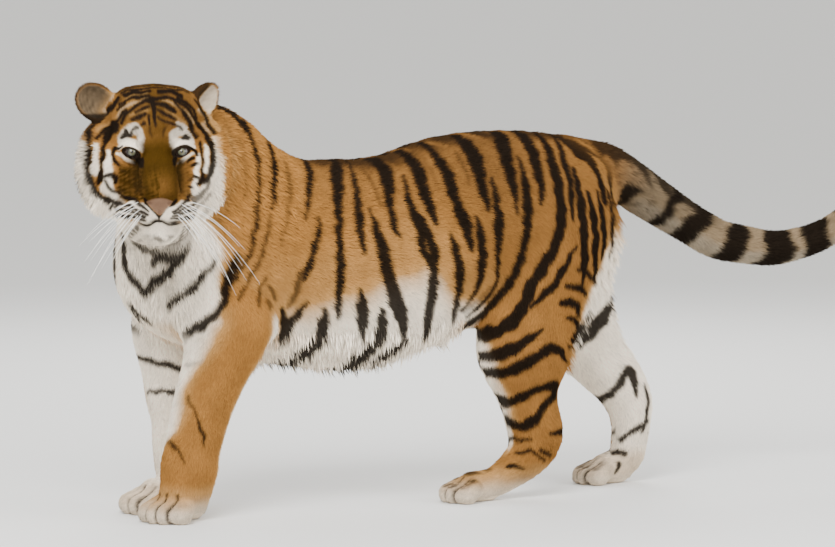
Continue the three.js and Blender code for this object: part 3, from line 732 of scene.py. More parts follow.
# On the flanks, thighs and shoulders: along the body, and height. Full black.
FLANK_STRIPES = [
    [(-31.2, 97, 0.5), (-32, 94.5, 0.6), (-31, 90, 0.6), (-30.6, 85.5, 0.5), (-30.7, 81, 0.4),
     (-31.4, 77, 0.4), (-32.1, 73, 0.5), (-33.2, 69, 0.5), (-34.2, 65, 0.45), (-35.9, 62.5, 0.4),
     (-38, 59, 0.3)],
    [(-42, 103, 0.5), (-39, 101.5, 0.8), (-34.5, 98.5, 0.8), (-32, 95, 0.9)],
    [(-37.5, 65, 0.3), (-38.8, 62, 0.4), (-40.3, 58, 0.45), (-41.5, 55.5, 0.45)],
    [(-24.6, 91, 0.6), (-25.2, 86, 0.9), (-26.5, 80, 0.7), (-27.5, 76, 0.4)],
    [(-11.5, 86.5, 0.8), (-12.9, 83, 0.9), (-15.2, 80, 0.8), (-16.7, 76.5, 0.6), (-18.3, 73, 0.3)],
    [(-14, 73, 0.3), (-14.7, 70, 0.7), (-16.5, 65, 0.8), (-18, 61.5, 0.9), (-19.2, 58, 0.5)],
    [(-1.5, 89, 0.8), (-2.4, 87, 0.8), (-5.4, 83, 1), (-7.5, 77, 0.9), (-9, 70, 0.8), (-9.3, 60, 0.9),
     (-9.7, 52, 0.9), (-9.3, 48, 0.4)],
    [(0, 86, 0.35), (-1.5, 81, 0.6), (-2.8, 75, 0.8), (-3.4, 70, 0.8), (-3.1, 66, 0.7), (-2.8, 64, 0.3)],
    [(6.5, 89, 1.2), (7.9, 84.5, 1.6), (6.9, 80, 1.3), (5.8, 76, 0.9), (5.8, 72, 0.8), (6.5, 69, 0.6),
     (7.3, 67.8, 0.2)],
    [(0.3, 75, 0.3), (1.1, 69, 0.9), (2.2, 65, 1.3), (2.8, 61, 1.3), (4.1, 56.5, 1.4), (5.8, 52.5, 1.6),
     (7.6, 48.7, 1.5), (9.2, 45, 1), (9.8, 43.5, 0.4)],
    [(14.6, 90.5, 0.8), (15.3, 88.5, 0.9), (16.3, 85, 1.4), (16.2, 81, 1.3), (16.4, 77.5, 1.2),
     (17, 74, 1.1), (18, 71, 0.6)],
    [(12, 82.5, 0.3), (11.4, 77.5, 0.6), (12, 73, 1.1), (13.9, 70, 1.3), (15.6, 67.5, 1), (16.6, 64, 1),
     (16.4, 60, 1.2), (16.4, 56, 1.2), (16.2, 51.5, 1.1), (16, 48, 1.1), (16.5, 44.5, 0.9), (17, 42.5, 0.4)],
    [(13.2, 70.5, 0.9), (12.9, 67.5, 0.9), (13.6, 64, 0.9), (15.5, 61, 0.8)],
    [(21, 92, 0.7), (22.3, 88, 0.9), (23.2, 84.5, 1.2), (23.8, 81.5, 1.1), (24, 77.5, 1.3), (25, 73.5, 1.2),
     (26.5, 70, 1.4), (27.3, 66, 0.9), (28, 63.5, 0.3)],
    [(21.6, 68, 0.3), (23, 64, 0.9), (24.1, 60, 1.1), (24.5, 56.5, 1.1), (24.5, 53, 0.9), (24.3, 49.5, 0.9),
     (24.6, 46, 0.5)],
    [(30.2, 93, 0.8), (32, 89, 1.5), (32.4, 86.5, 1.6), (32.3, 83, 1.3), (32.4, 79, 1.2), (32.9, 76, 0.8),
     (33.2, 73.5, 0.3)],
    [(29.6, 72, 0.4), (30.6, 67, 1), (31.1, 63.5, 1.2), (31.3, 60, 1.1), (31, 56.5, 0.8), (30.2, 53, 0.6),
     (28.3, 50.5, 0.5), (26.5, 48.5, 0.4)],
    [(35.4, 81.5, 0.3), (35.8, 76, 0.8), (36, 72.5, 1), (36.1, 69, 1.1), (36, 65, 0.9), (36.1, 61.5, 0.7),
     (36.6, 58, 0.5), (36.8, 55, 0.5), (35.8, 52.5, 0.6), (33.6, 50, 0.6), (31.4, 48.2, 0.6),
     (29.4, 46.8, 0.4)],
    [(41.5, 94, 1), (42.4, 91, 1.6), (41.5, 88.5, 1.6), (40.6, 85, 1.3), (40.9, 82, 1.1), (41.1, 79, 0.9),
     (41.3, 76, 0.6), (41.4, 72.5, 0.3)],
    [(44.4, 86, 0.3), (44.6, 82, 0.8), (44.7, 77.5, 1), (44.6, 72.5, 1.1), (44.4, 69, 1), (43.8, 65, 0.9),
     (43, 61, 0.9), (41.9, 57.5, 0.8), (40.4, 54, 0.8), (38.4, 51.5, 0.8), (36.6, 49.5, 0.8),
     (34.6, 47, 0.8), (32.2, 44.8, 0.9), (30, 44, 1)],
    [(48.3, 94, 0.8), (49, 90.5, 1.4), (49.2, 88, 1.3), (49.1, 85, 1.2), (49.2, 81.5, 1.1), (49.2, 78, 0.9),
     (48.8, 74.5, 0.4)],
    [(53.4, 94, 0.6), (54.5, 88.5, 1.1), (54, 85, 1.2), (54.2, 82, 1.1), (54.2, 78, 1.1), (54.1, 73, 1.1),
     (53.7, 69, 1), (52.9, 66, 1), (51.5, 62.5, 1), (49.8, 60, 1.1), (47.8, 57, 1), (45.7, 54.5, 1),
     (44.3, 51, 1), (42.3, 47.5, 1.1), (39.8, 44.7, 1.3), (37.2, 43, 1.2), (34.8, 41.5, 1.2),
     (31.5, 40.5, 1.2)],
    [(58.8, 92, 0.5), (58.3, 87, 0.8), (57.9, 83.5, 0.9), (58, 80, 0.7), (57.4, 76, 0.6), (57, 72.5, 0.5),
     (57.2, 70, 0.3)],
    [(60, 83, 0.4), (60, 79, 0.8), (60, 74.5, 1), (60, 70, 0.9), (60.2, 65.5, 0.9), (60.3, 61.5, 1),
     (60.4, 58, 0.7), (60, 54, 0.4)],
    [(60.5, 91.5, 0.7), (63, 87.5, 1.2), (66.3, 85.5, 1.1), (67.7, 83, 1), (68.2, 80, 0.9), (68.4, 77, 0.9),
     (68.2, 73.5, 0.5)],
    [(62.7, 77, 0.4), (63, 73.5, 0.7), (63.4, 70, 0.9), (63.8, 66, 0.8), (63.5, 62, 0.7), (64.3, 57, 0.6),
     (64, 54, 0.4)],
    [(66, 91, 0.5), (70, 88.5, 0.8), (73, 85, 0.9), (73.6, 81, 0.9), (72.8, 77, 0.7), (72.2, 73.5, 0.5)],
    [(66.2, 77, 0.3), (66.3, 73, 0.6), (66.4, 68, 0.7), (66.7, 64, 0.6), (66.2, 60, 0.4)],
    [(70.4, 77, 0.3), (70.5, 73, 0.6), (70, 69, 0.6), (69.4, 64, 0.5), (69, 60, 0.3)],
    [(57, 91.2, 0.3), (62, 89.8, 0.4), (67, 87.4, 0.45), (71, 84.9, 0.4), (74, 81.5, 0.3)],
    [(60, 93, 0.3), (66, 90.6, 0.4), (71, 87.6, 0.4), (75, 84, 0.35)],
    [(34, 35.8, 0.9), (36.3, 36.5, 1.2), (38.7, 37.8, 1.2), (41.7, 39.5, 1.1), (44.4, 41.5, 0.8),
     (47.5, 43, 0.3)],
    [(34.5, 32, 0.9), (38.3, 32, 1.1), (40.2, 33, 1.2), (43.3, 34.5, 1.2), (46.8, 36.8, 1.1),
     (50.2, 38.2, 1.2), (53.3, 37.4, 0.9), (54.6, 35.5, 0.6)],
    [(36.8, 27, 0.5), (39, 25.2, 0.8), (41, 24.3, 1), (43, 25.5, 0.9), (45, 27.2, 0.7), (47.4, 28, 0.8),
     (50, 28.6, 0.9), (53, 28, 1.1), (52.8, 25.8, 0.9), (50, 24.2, 0.8), (48.6, 22.5, 0.7),
     (46.3, 19.8, 1.1), (44.2, 18.2, 0.9), (42.3, 18.5, 0.6), (41, 20.5, 0.4), (39.5, 23.5, 0.3)],
    [(40.5, 16, 0.4), (43, 14.8, 0.35), (46, 15, 0.3)],
    [(51, 16.5, 0.3), (53.5, 16.6, 0.6), (58, 16.6, 0.8)],
    [(43, 11.5, 0.3), (46, 12.2, 0.35), (48, 11, 0.35), (49.8, 9.5, 0.3)],
    [(48.5, 12.5, 0.3), (51.5, 10.5, 0.3)],
    [(40.5, 8.5, 0.4), (42.5, 8.2, 0.4), (44.5, 7.8, 0.2)],
    [(53.5, 49.5, 0.6), (56, 49.6, 0.9), (58.5, 48.5, 0.8), (59.5, 46, 0.5)],
    [(55, 53.5, 0.5), (59, 53, 0.7), (61.5, 51.5, 0.5)],
    [(57.8, 63.5, 0.3), (55, 59, 0.6), (52.6, 55.5, 0.7), (50.3, 53, 0.8), (47, 50.5, 0.6), (45, 48.5, 0.4)],
    [(56.5, 38.8, 0.7), (59.5, 41.2, 1), (62.5, 43.8, 1.1), (65.5, 46.4, 0.8)],
    [(58.5, 57.4, 0.4), (61, 56.4, 0.6), (63.4, 54.6, 0.5)],
    [(55.5, 45.4, 0.4), (58, 44.8, 0.7), (59.8, 43, 0.5)],
    # the white below the flank
    [(-4.2, 55, 0.4), (-3.6, 52, 1), (-3, 49, 1.2), (-2.6, 46.5, 1.1), (-2, 43.5, 0.4)],
    [(2.2, 50, 0.5), (2.8, 46, 1.2), (2.7, 42.5, 1.4), (1.6, 39.5, 1.6), (0, 37, 1.7), (-2.5, 34.5, 1.6),
     (-5, 33, 1.2), (-6, 30, 0.9)],
    [(-13.1, 50.5, 0.5), (-12.9, 47, 1.2), (-13.4, 44, 1.3), (-14.2, 41, 1.4), (-15.4, 39, 1.5),
     (-17.3, 37, 1.3), (-20.2, 35.6, 1.1), (-24.5, 35, 0.8)],
    [(-18.2, 52.5, 0.4), (-20.6, 49, 0.9), (-22.6, 46.5, 1.3), (-22.9, 44, 0.9), (-23.5, 42, 0.3)],
    [(-24.5, 51, 0.5), (-23.6, 48, 0.8), (-22.6, 46.5, 1)],
    [(5.5, 36.5, 1), (7, 38, 1.2), (9.5, 39.8, 1.1), (11, 42, 0.7)],
]
# The same, brown and faint: (strength, stroke).
FAINT_STRIPES = [
    (0.6, [(-20.5, 86, 0.4), (-21.3, 82, 0.8), (-21.6, 79, 0.7), (-23.2, 75, 0.5), (-24.3, 71, 0.4),
     (-26, 67, 0.3)]),
    (0.6, [(2.2, 84, 0.35), (2.9, 79.5, 0.4), (3.6, 75.5, 0.3)]),
    (0.75, [(-18.5, 62, 0.3), (-20.4, 59, 0.9), (-21.3, 55, 0.8), (-22.7, 51.5, 0.5)]),
    (0.9, [(-28, 74.5, 0.25), (-29.3, 70, 0.4), (-30.9, 65, 0.4), (-33, 61, 0.35), (-35.5, 57, 0.35),
     (-37.3, 54, 0.3)]),
    (0.75, [(-30.2, 59, 0.4), (-31.9, 54, 0.5), (-32, 52.5, 0.3)]),
    (0.75, [(-28.8, 57, 0.3), (-26.5, 53.5, 0.5)]),
    (0.6, [(-29, 53, 0.6), (-28.3, 51.5, 0.6)]),
    (0.5, [(35, 54, 0.3), (33, 52, 0.4), (30, 49.5, 0.5), (27.5, 48, 0.4)]),
    (0.4, [(-38.5, 97.5, 0.3), (-38.2, 93, 0.4), (-38, 89, 0.3)]),
    (0.4, [(-35.5, 93, 0.3), (-34.6, 86, 0.3), (-34.8, 79, 0.3)]),
    (0.92, [(-48.9, 30.5, 0.15), (-47.7, 26, 0.26), (-46, 21.5, 0.4), (-45.5, 18.8, 0.2)]),
    (0.92, [(-53.4, 21, 0.15), (-52.2, 18.5, 0.3), (-50.3, 15, 0.2)]),
    (0.5, [(-49.5, 37.3, 0.3), (-47, 38.6, 0.3), (-46, 39, 0.2)]),
    (0.5, [(28, 88, 0.4), (28.6, 84, 0.5), (29, 80, 0.3)]),
    (0.4, [(19, 88, 0.3), (19.6, 83, 0.4), (20, 79, 0.3)]),
]
# On the inner face of the right hind leg: along the body, and height.
INNER_HIND_STRIPES = [
    [(63, 32.8, 0.8), (67, 36.4, 1.1), (71, 40, 1.3), (75, 43.4, 1.2), (78, 46.4, 0.9), (80, 49, 0.5)],
    [(69, 24.5, 0.7), (71.5, 25, 0.6)],
    [(70, 23, 0.3), (74, 20.5, 0.4)],
    [(76.5, 20, 0.6), (77.8, 22.5, 0.7), (80, 25, 0.7), (81.5, 28, 0.8), (83, 29.5, 0.9), (84.5, 28, 0.8),
     (85, 25, 0.6), (85.2, 22.5, 0.3)],
    [(82, 11, 0.4), (84.5, 13, 0.5), (87, 14.5, 0.5), (89.5, 15.7, 0.4)],
    [(79, 16, 0.4), (80, 14, 0.5), (81, 12.5, 0.3)],
    [(80, 7.8, 0.4), (82.5, 7.6, 0.5)],
    [(79.5, 3, 0.3), (81, 5, 0.4)],
    [(88.5, 25, 0.3), (89.2, 21, 0.4), (88.8, 17, 0.4), (87.5, 13, 0.3)],
    [(60, 31, 0.4), (63, 33, 0.5), (66, 34.2, 0.3)],
]
# Round the chest and throat: degrees from straight ahead towards the left, and height.
CHEST_STRIPES = [
    [(79, 63.5, 0.3), (74, 61.2, 0.5), (68, 59.5, 0.6), (61.5, 57, 0.8), (54.5, 55.3, 0.7), (46, 54, 0.6),
     (40, 52.5, 0.6), (37.5, 51.3, 0.3)],
    [(60, 67, 0.4), (55, 64.7, 0.6), (49.5, 62.7, 0.7), (42, 60, 0.7), (34, 58.5, 0.8), (28, 56.7, 0.8),
     (21.5, 55.3, 0.7), (17.5, 57.7, 0.8), (13, 59.3, 0.8), (9, 61.5, 0.7), (9.5, 64.5, 0.8), (11, 67, 0.7),
     (14, 70, 0.5)],
    [(58, 72, 0.8), (56, 69, 1.2), (51.5, 66.5, 1.1), (46.5, 65, 1), (41.5, 64.3, 0.8), (36.5, 63, 0.5)],
    [(28, 68.5, 0.4), (34, 66.5, 0.6), (38, 66, 0.6), (43, 66.3, 0.6)],
    [(99, 64.5, 0.6), (95.5, 62.7, 0.9), (92, 60, 1), (90, 57.5, 0.9), (88, 55, 0.7), (84, 52.5, 0.6),
     (79.5, 50.8, 0.6), (70, 48.5, 0.7), (63.5, 47, 0.7), (56, 46, 0.8), (46, 44, 0.9)],
    [(-12, 57, 0.5), (-8, 54, 0.6), (0, 51.5, 0.7), (5, 49.5, 0.7), (8, 48, 0.6)],
]
# Round the right foreleg: degrees from straight ahead towards the left, and height.
RIGHT_FORELEG_STRIPES = [
    [(-20, 38, 0.5), (20, 37.3, 0.6), (52, 36.3, 0.7), (97, 34.5, 0.8), (130, 33.5, 0.8)],
    [(0, 29.3, 0.4), (40, 29.8, 0.5), (80, 29.8, 0.6), (120, 29.8, 0.5)],
]
# On the face: centimetres right and up of the brow. Negative is the tiger's own right.
FACE_STRIPES = [
    # cheek bands, right
    [(-16.2, 8.4, 0.5), (-16, 6, 0.6), (-15.9, 3.6, 0.6), (-16.1, 1.2, 0.75), (-16.3, -1.6, 0.8),
     (-16.3, -4.4, 0.75), (-15.9, -7.1, 0.7), (-14.8, -9.5, 0.85), (-13, -11, 0.7), (-11.1, -11.7, 0.6),
     (-9.4, -12.5, 0.4)],
    [(-14.2, 3.8, 0.4), (-12.4, 4.9, 0.45), (-10.4, 6.4, 0.45), (-8.7, 8.2, 0.4), (-7.2, 9.9, 0.35)],
    [(-9.2, 6.4, 0.5), (-9.9, 5.4, 0.75), (-11.1, 4.2, 0.75), (-12.1, 2.6, 0.6), (-12.6, 0.6, 0.45),
     (-12.9, -1.8, 0.4), (-13.1, -4, 0.35), (-13.4, -5.8, 0.6), (-13.6, -7, 0.6)],
    [(-13.4, -6.4, 0.4), (-12, -5.9, 0.4), (-10.6, -5.8, 0.55), (-9.7, -6.4, 0.55), (-9.8, -7.5, 0.4)],
    [(-12.4, -7.1, 0.3), (-11.4, -8.5, 0.35), (-10.1, -9.6, 0.35), (-8.6, -10.2, 0.3)],
    [(-8.4, 1.2, 0.3), (-9.9, 0.8, 0.4), (-10.4, -1, 0.4), (-10.3, -2.5, 0.45), (-9.3, -3.4, 0.35)],
    [(-8.4, 13, 0.35), (-10.2, 10.9, 0.5), (-12.4, 8.7, 0.5), (-14.6, 6.9, 0.5), (-15.8, 5.4, 0.4)],
    # brow and forehead, right
    [(-7.5, 5, 0.45), (-7.7, 3.9, 0.75), (-6.6, 3.6, 0.4), (-6, 4.9, 0.3), (-5.1, 5.7, 0.3),
     (-4.4, 5.5, 0.25)],
    [(-3.9, 6.2, 0.3), (-3.1, 6.8, 0.4)],
    [(-0.9, 12.4, 0.5), (-3, 12, 0.45), (-4.9, 11, 0.4), (-6.4, 9.7, 0.35), (-7.4, 8.4, 0.35),
     (-8.2, 6.9, 0.35)],
    [(-5.9, 7.7, 0.35), (-4.3, 8.3, 0.55), (-2.8, 8.9, 0.4)],
    [(-5, 9.4, 0.25), (-3.4, 10.2, 0.35), (-1.8, 10.8, 0.3)],
    [(-8.4, 11.6, 0.3), (-7, 12.4, 0.35), (-5.6, 12.8, 0.4), (-3.4, 13.2, 0.4), (-1.6, 13.1, 0.3)],
    [(-7.3, 13.7, 0.35), (-4.9, 14.3, 0.45), (-1.6, 14.4, 0.4)],
    [(-8.9, 10.2, 0.3), (-7.4, 11.4, 0.3)],
    # middle
    [(-1.2, 12.6, 0.55), (-0.6, 10.8, 0.55), (-0.6, 9.4, 0.45), (-0.4, 7.4, 0.3), (-0.2, 6.2, 0.2)],
    [(-1.9, 8.6, 0.25), (-1.7, 6.8, 0.25)],
    # forehead and brow, left
    [(-0.6, 12.8, 0.45), (2.4, 13, 0.45), (5.2, 12.2, 0.45), (7, 11.1, 0.4), (8.2, 9.6, 0.35)],
    [(-0.3, 11.6, 0.4), (1.8, 11, 0.5), (3.9, 10, 0.5), (4.8, 9.4, 0.3)],
    [(0.3, 9.9, 0.25), (1.6, 9.3, 0.35), (3.2, 8.6, 0.45), (4.9, 7.7, 0.35)],
    [(0.4, 8.4, 0.2), (1.5, 7.4, 0.3), (3.9, 6.5, 0.3)],
    [(4.4, 11.6, 0.3), (6.2, 9.9, 0.35), (7.5, 7.7, 0.4), (8.8, 5.5, 0.5), (9.7, 3.6, 0.4)],
    [(4.2, 6.5, 0.3), (5.6, 6, 0.3), (6.3, 5.1, 0.25)],
    [(6.2, 2.8, 0.4), (7.3, 3.2, 0.7), (7.9, 3.3, 0.4)],
    [(0.8, 14.4, 0.4), (3.4, 14.3, 0.45), (6.4, 13.3, 0.4)],
    [(5, 13, 0.3), (7.4, 12, 0.35), (9, 10.2, 0.35), (9.9, 8.2, 0.3)],
    [(9.6, 12.6, 0.3), (11.4, 9.9, 0.45), (13, 7.2, 0.5), (14.6, 4.6, 0.4)],
    # cheek bands, left
    [(7, 11, 0.3), (8.8, 8.4, 0.4), (10.7, 6.2, 0.5), (12.6, 4.2, 0.6), (13.6, 2.2, 0.7), (14, 0.2, 0.75),
     (13.9, -2.3, 0.7), (13.4, -5.1, 0.6), (12.1, -7.1, 0.6), (10.3, -7.9, 0.5)],
    [(10.8, 2.2, 0.3), (11, -1, 0.4), (11.4, -3.7, 0.35), (11.5, -5.6, 0.35), (10.6, -7, 0.6)],
    [(8, -7, 0.25), (8.8, -6, 0.3), (9.7, -6.4, 0.35)],
    [(8.3, -8.6, 0.3), (8.8, -8.8, 0.3)],
    [(8.5, -3.8, 0.3), (9.9, -3.2, 0.35)],
    [(7.4, -2.8, 0.25), (9, -2, 0.35)],
    [(8, 0.6, 0.35), (9.2, 0.1, 0.4), (9.7, -1.1, 0.35)],
    # inner corners of the eyes
    [(-5, -1.2, 0.5), (-4, -2.3, 0.7), (-3.9, -3.5, 0.45)],
    [(4.6, -1.2, 0.4), (4.1, -2.2, 0.5), (4.1, -3.4, 0.35)],
    # rows that the whiskers grow from
    [(-8.6, -10.4, 0.3), (-7.3, -10.9, 0.4), (-5.9, -11.9, 0.4), (-4, -13.6, 0.3), (-2.6, -14.6, 0.2)],
    [(-10.4, -11.6, 0.35), (-8.6, -12.6, 0.42), (-6.4, -13.5, 0.4), (-4.2, -14.6, 0.3), (-2.6, -15.4, 0.2)],
    [(-10.6, -13.2, 0.35), (-8.3, -14.1, 0.42), (-5.9, -14.8, 0.38), (-3.2, -15.7, 0.25)],
    [(-9.4, -15.2, 0.35), (-7.2, -15.7, 0.4), (-4.9, -16, 0.35), (-3, -16.3, 0.2)],
    [(8.2, -10.6, 0.3), (7.3, -11.4, 0.38), (6.1, -12.7, 0.38), (4.4, -13.9, 0.3), (2.9, -14.8, 0.2)],
    [(9.2, -12.2, 0.3), (7.6, -13.2, 0.35), (5.4, -14.2, 0.32), (3.2, -15.1, 0.22)],
    [(9.4, -14, 0.35), (7.6, -14.6, 0.4), (5.2, -15.1, 0.35), (3.1, -15.8, 0.22)],
    [(8.6, -15.8, 0.35), (6.6, -16.1, 0.38), (4.8, -16.2, 0.32), (3, -16.4, 0.2)],
    # edges of the nose
    [(-3.7, -11.6, 0.3), (-3.3, -12.5, 0.5), (-1.9, -13.5, 0.42), (-0.6, -14.7, 0.38), (0, -15.7, 0.35)],
    [(4, -11.8, 0.25), (3.3, -12.6, 0.45), (1.9, -13.5, 0.4), (0.6, -14.7, 0.35), (0, -15.7, 0.35)],
]
FAINT_FACE_STRIPES = [
    (0.8, [(8.8, -11.6, 0.6), (10.8, -10.9, 0.7), (12.2, -9.4, 0.6), (12.9, -7.6, 0.4)]),
    (0.6, [(9.6, -13.2, 0.4), (11.6, -12.4, 0.5), (13.4, -10.6, 0.4)]),
    (0.5, [(11.3, -16, 0.5), (13, -13.5, 0.45)]),
    (0.55, [(-1.4, 5.9, 0.3), (-1.2, 4, 0.25)]),
    (0.55, [(1.8, 5.6, 0.3), (1.8, 3.5, 0.25)]),
    (0.4, [(-4.8, 4.9, 0.2), (-4.7, 3.2, 0.2), (-4.4, 1.6, 0.2)]),
    (0.5, [(-8.8, -4.4, 0.3), (-7.2, -4.9, 0.25)]),
    (0.45, [(-9, -8.8, 0.3), (-7.6, -9.4, 0.3)]),
]
# The white patches of the face, painted the same way.
FACE_WHITES = [
    [(-8.3, 2.4, 1.2), (-7.6, 4.2, 1.4), (-5.8, 5.6, 1.4), (-4.1, 4.6, 1.1), (-3.7, 2.2, 0.8),
     (-3.6, 0.2, 0.45)],
    [(-8.9, 1.2, 0.8), (-7, 2, 1.1), (-5, 1.9, 1.1), (-3.7, 0.8, 0.7)],
    [(-9.2, -0.4, 0.45), (-7.6, -1.7, 0.55), (-5.9, -2.5, 0.6), (-5, -3.2, 0.45)],
    [(3.9, -0.2, 0.4), (4, 2.2, 0.8), (4.4, 4.4, 1.1), (5.9, 5, 1.4), (7.6, 3.8, 1.4), (8.6, 2.2, 0.8)],
    [(5.2, 6.6, 0.7), (7, 5.8, 0.7)],
    [(8.9, 1.2, 0.7), (7.2, 2, 1.1), (5.2, 1.9, 1.1), (4, 0.8, 0.7)],
    [(5.1, -3, 0.45), (6.2, -2.3, 0.6), (7.8, -1.5, 0.55), (8.9, -0.6, 0.35)],
    [(-14.2, 2, 0.7), (-14.4, -2, 1), (-14.6, -5, 1)],
    [(-17.6, 2, 1.3), (-18.4, -4, 2.2), (-16.5, -11, 2.6), (-12, -14.5, 2.8)],
    [(-11.4, 0, 0.7), (-11.8, -3.5, 1), (-11.6, -8.5, 1.6), (-10, -11.2, 1)],
    [(15.2, 3, 1.2), (15.6, -2, 1.9), (14.4, -8, 2.8), (11.5, -13.5, 3)],
    [(12.2, 1.5, 0.6), (12.3, -2, 0.7), (12.2, -5, 0.7)],
    [(10, -0.8, 0.45), (10.2, -3.6, 0.7), (9.8, -5.2, 0.9), (9.4, -7.8, 0.8), (9.6, -10, 1.3)],
    [(-6.2, -14.2, 2.4), (-3, -15.4, 2.2), (0, -19, 2.2), (3, -15.4, 2.2), (6.2, -14.2, 2.4)],
]
# The same, cream and faint, beside the forehead's arcs.
FAINT_WHITES = [
    (0.55, [(-9.3, 8.2, 0.5), (-7.6, 10.6, 0.5), (-4.6, 12, 0.35), (-2, 12.9, 0.3)]),
    (0.45, [(-7, 13.2, 0.35), (-2.4, 13.8, 0.35)]),
    (0.55, [(1.5, 12.1, 0.35), (4.6, 11.1, 0.35), (7.4, 9.2, 0.4), (8.9, 6.8, 0.4)]),
    (0.4, [(-1.8, 9.9, 0.3), (-3.8, 9.3, 0.35), (-6.2, 8.9, 0.3)]),
    (0.45, [(2.2, 9.8, 0.25), (4.6, 8.7, 0.3), (6.6, 7, 0.4)]),
    (0.5, [(11.6, 6.4, 0.7), (13.8, 4.4, 0.8)]),
    (0.6, [(10.6, 10.2, 0.5), (12.2, 8.3, 0.4), (12.4, 6.6, 0.4)]),
    (0.7, [(12.4, 11, 0.6), (13.8, 8.4, 0.7), (15.4, 5.6, 0.8)]),
    (0.35, [(-13.6, 5.4, 0.5), (-11, 6.9, 0.5)]),
]
# The tail's rings: where each starts and ends, in millimetres along it from its first joint.
TAIL_RINGS = [(306, 334), (386, 440), (513, 570), (634, 714), (763, 830), (886, 946), (1002, 1140)]
JOWLS = [
    [(6.8, -18, 0.9), (7, -19.8, 1.4), (5.6, -21.6, 1.2), (3.6, -22.8, 0.8)],
    [(-5.2, -18.6, 0.8), (-6.6, -20, 0.9), (-7, -22, 0.7)],
    [(-3, -20.4, 0.5), (0.5, -21.2, 0.5), (3, -20.6, 0.5)],
]
# Across the top of the head: centimetres right and forward of the brow.
CROWN_STRIPES = [
    [(-7.6, -7.4, 0.4), (-4.6, -5.6, 0.5), (-1.6, -4.6, 0.5), (1.4, -4.8, 0.5), (5, -5.8, 0.5),
     (8, -7.8, 0.4)],
    [(-8.6, -9.4, 0.4), (-5, -7.9, 0.6), (-1.4, -7, 0.65)],
    [(0.8, -7.2, 0.6), (4.6, -8, 0.6), (8.4, -9.8, 0.4)],
    [(-9.2, -12.4, 0.5), (-5.2, -10.4, 0.7), (0, -9.6, 0.8), (5, -10.4, 0.7), (9, -12.4, 0.5)],
    [(-9.4, -15, 0.5), (-5, -13.4, 0.7), (-0.8, -12.6, 0.6)],
    [(1.2, -12.9, 0.6), (5.4, -13.6, 0.7), (9.2, -15.2, 0.5)],
    [(-9.4, -18.2, 0.5), (-5.2, -16.6, 0.7), (0, -16, 0.7), (5, -16.8, 0.7), (9, -18.4, 0.5)],
    [(-8.8, -21.5, 0.4), (-4, -20, 0.6), (0.5, -19.6, 0.4)],
    [(1.5, -20.3, 0.4), (5.5, -20.9, 0.6), (9, -22.4, 0.4)],
]
# On the sides of the head behind the cheeks: centimetres forward and up of the brow.
HEAD_SIDE_STRIPES = [
    [(-12.6, 7, 0.5), (-13.4, 2, 0.7), (-13.8, -3, 0.8), (-12.8, -8, 0.7), (-10.5, -12, 0.5)],
    [(-17, 6, 0.5), (-18.2, 1, 0.7), (-18.4, -4, 0.7), (-17, -9, 0.5)],
    [(-21.5, 9, 0.4), (-22.6, 4, 0.6), (-22.8, -1, 0.5)],
]
# Down the right side of the neck: along the body, and height.
RIGHT_NECK_STRIPES = [
    [(-37.5, 99, 0.4), (-38.8, 92, 0.6), (-39.4, 85, 0.6), (-39, 79, 0.4)],
    [(-43.6, 101, 0.4), (-45.2, 95, 0.7), (-46, 88, 0.7), (-45.2, 82, 0.4)],
    [(-49.5, 100, 0.3), (-51.4, 94, 0.6), (-51.8, 87, 0.5)],
]
# Painted shade below the jaw: grey and mottled black down the throat.
BELOW_JAW_SHADE = [[(-5, -21, 3), (0, -27, 5), (1, -33, 5)]]
# Painted shade: grey across the chin below the lower lip.
CHIN = [[(-3.5, -18.4, 1.6), (3.5, -18.4, 1.6)]]
CHEST_AXIS, FORELEG_AXIS = (-400.0, -40.0), (-420.0, 85.0)
DEGREE_ON_CHEST, DEGREE_ON_FORELEG = 0.31, 0.13  # centimetres


def wobble(p, size, seed):
    """A smooth field of about -1 to 1 that varies over size millimetres."""
    rng = np.random.default_rng(seed)
    total = 0.0
    for _ in range(5):
        way = unit(rng.normal(size=3)) * rng.uniform(0.7, 1.5) * 2 * math.pi / size
        total = total + np.sin(p @ way + rng.uniform(0, 6.28))
    return total / 3.0


def painted(a, b, strokes, soft=0.3, scale=1.0, bold=1.0):
    """How black each place (a, b) is under strokes. scale turns a into centimetres, bold widens them."""
    mark = np.zeros(len(a))
    for stroke in strokes:
        rows = np.array(stroke, float) * (1.0, 1.0, bold)
        reach = rows[:, 2].max() + soft
        low, high = rows[:, :2].min(0), rows[:, :2].max(0)
        near = (a > low[0] - reach / scale) & (a < high[0] + reach / scale)
        near &= (b > low[1] - reach) & (b < high[1] + reach)
        if not near.any():
            continue
        q = np.stack([a[near] * scale, b[near]], 1)
        best = np.zeros(len(q))
        for p0, p1 in zip(rows, rows[1:]):
            start = p0[:2] * (scale, 1.0)
            along = p1[:2] * (scale, 1.0) - start
            t = np.clip((q - start) @ along / max(along @ along, 1e-9), 0.0, 1.0)
            apart = np.linalg.norm(q - start - t[:, None] * along, axis=1)
            best = np.maximum(best, ramp(p0[2] + (p1[2] - p0[2]) * t - apart, -soft, soft))
        mark[near] = np.maximum(mark[near], best)
    return mark


def faintly(a, b, strokes, soft=0.3, bold=1.0):
    """The same under strokes that each have a strength."""
    mark = np.zeros(len(a))
    for strength, stroke in strokes:
        mark = np.maximum(mark, strength * painted(a, b, [stroke], soft, 1.0, bold))
    return mark


def in_front(f):
    """1 on the face, 0 behind it."""
    return ramp(f, -23, -17)


def turn_from_ahead(q, axis):
    """Degrees round an upright axis from straight ahead towards the left."""
    return np.degrees(np.arctan2(axis[1] - q[:, 1], axis[0] - q[:, 0]))


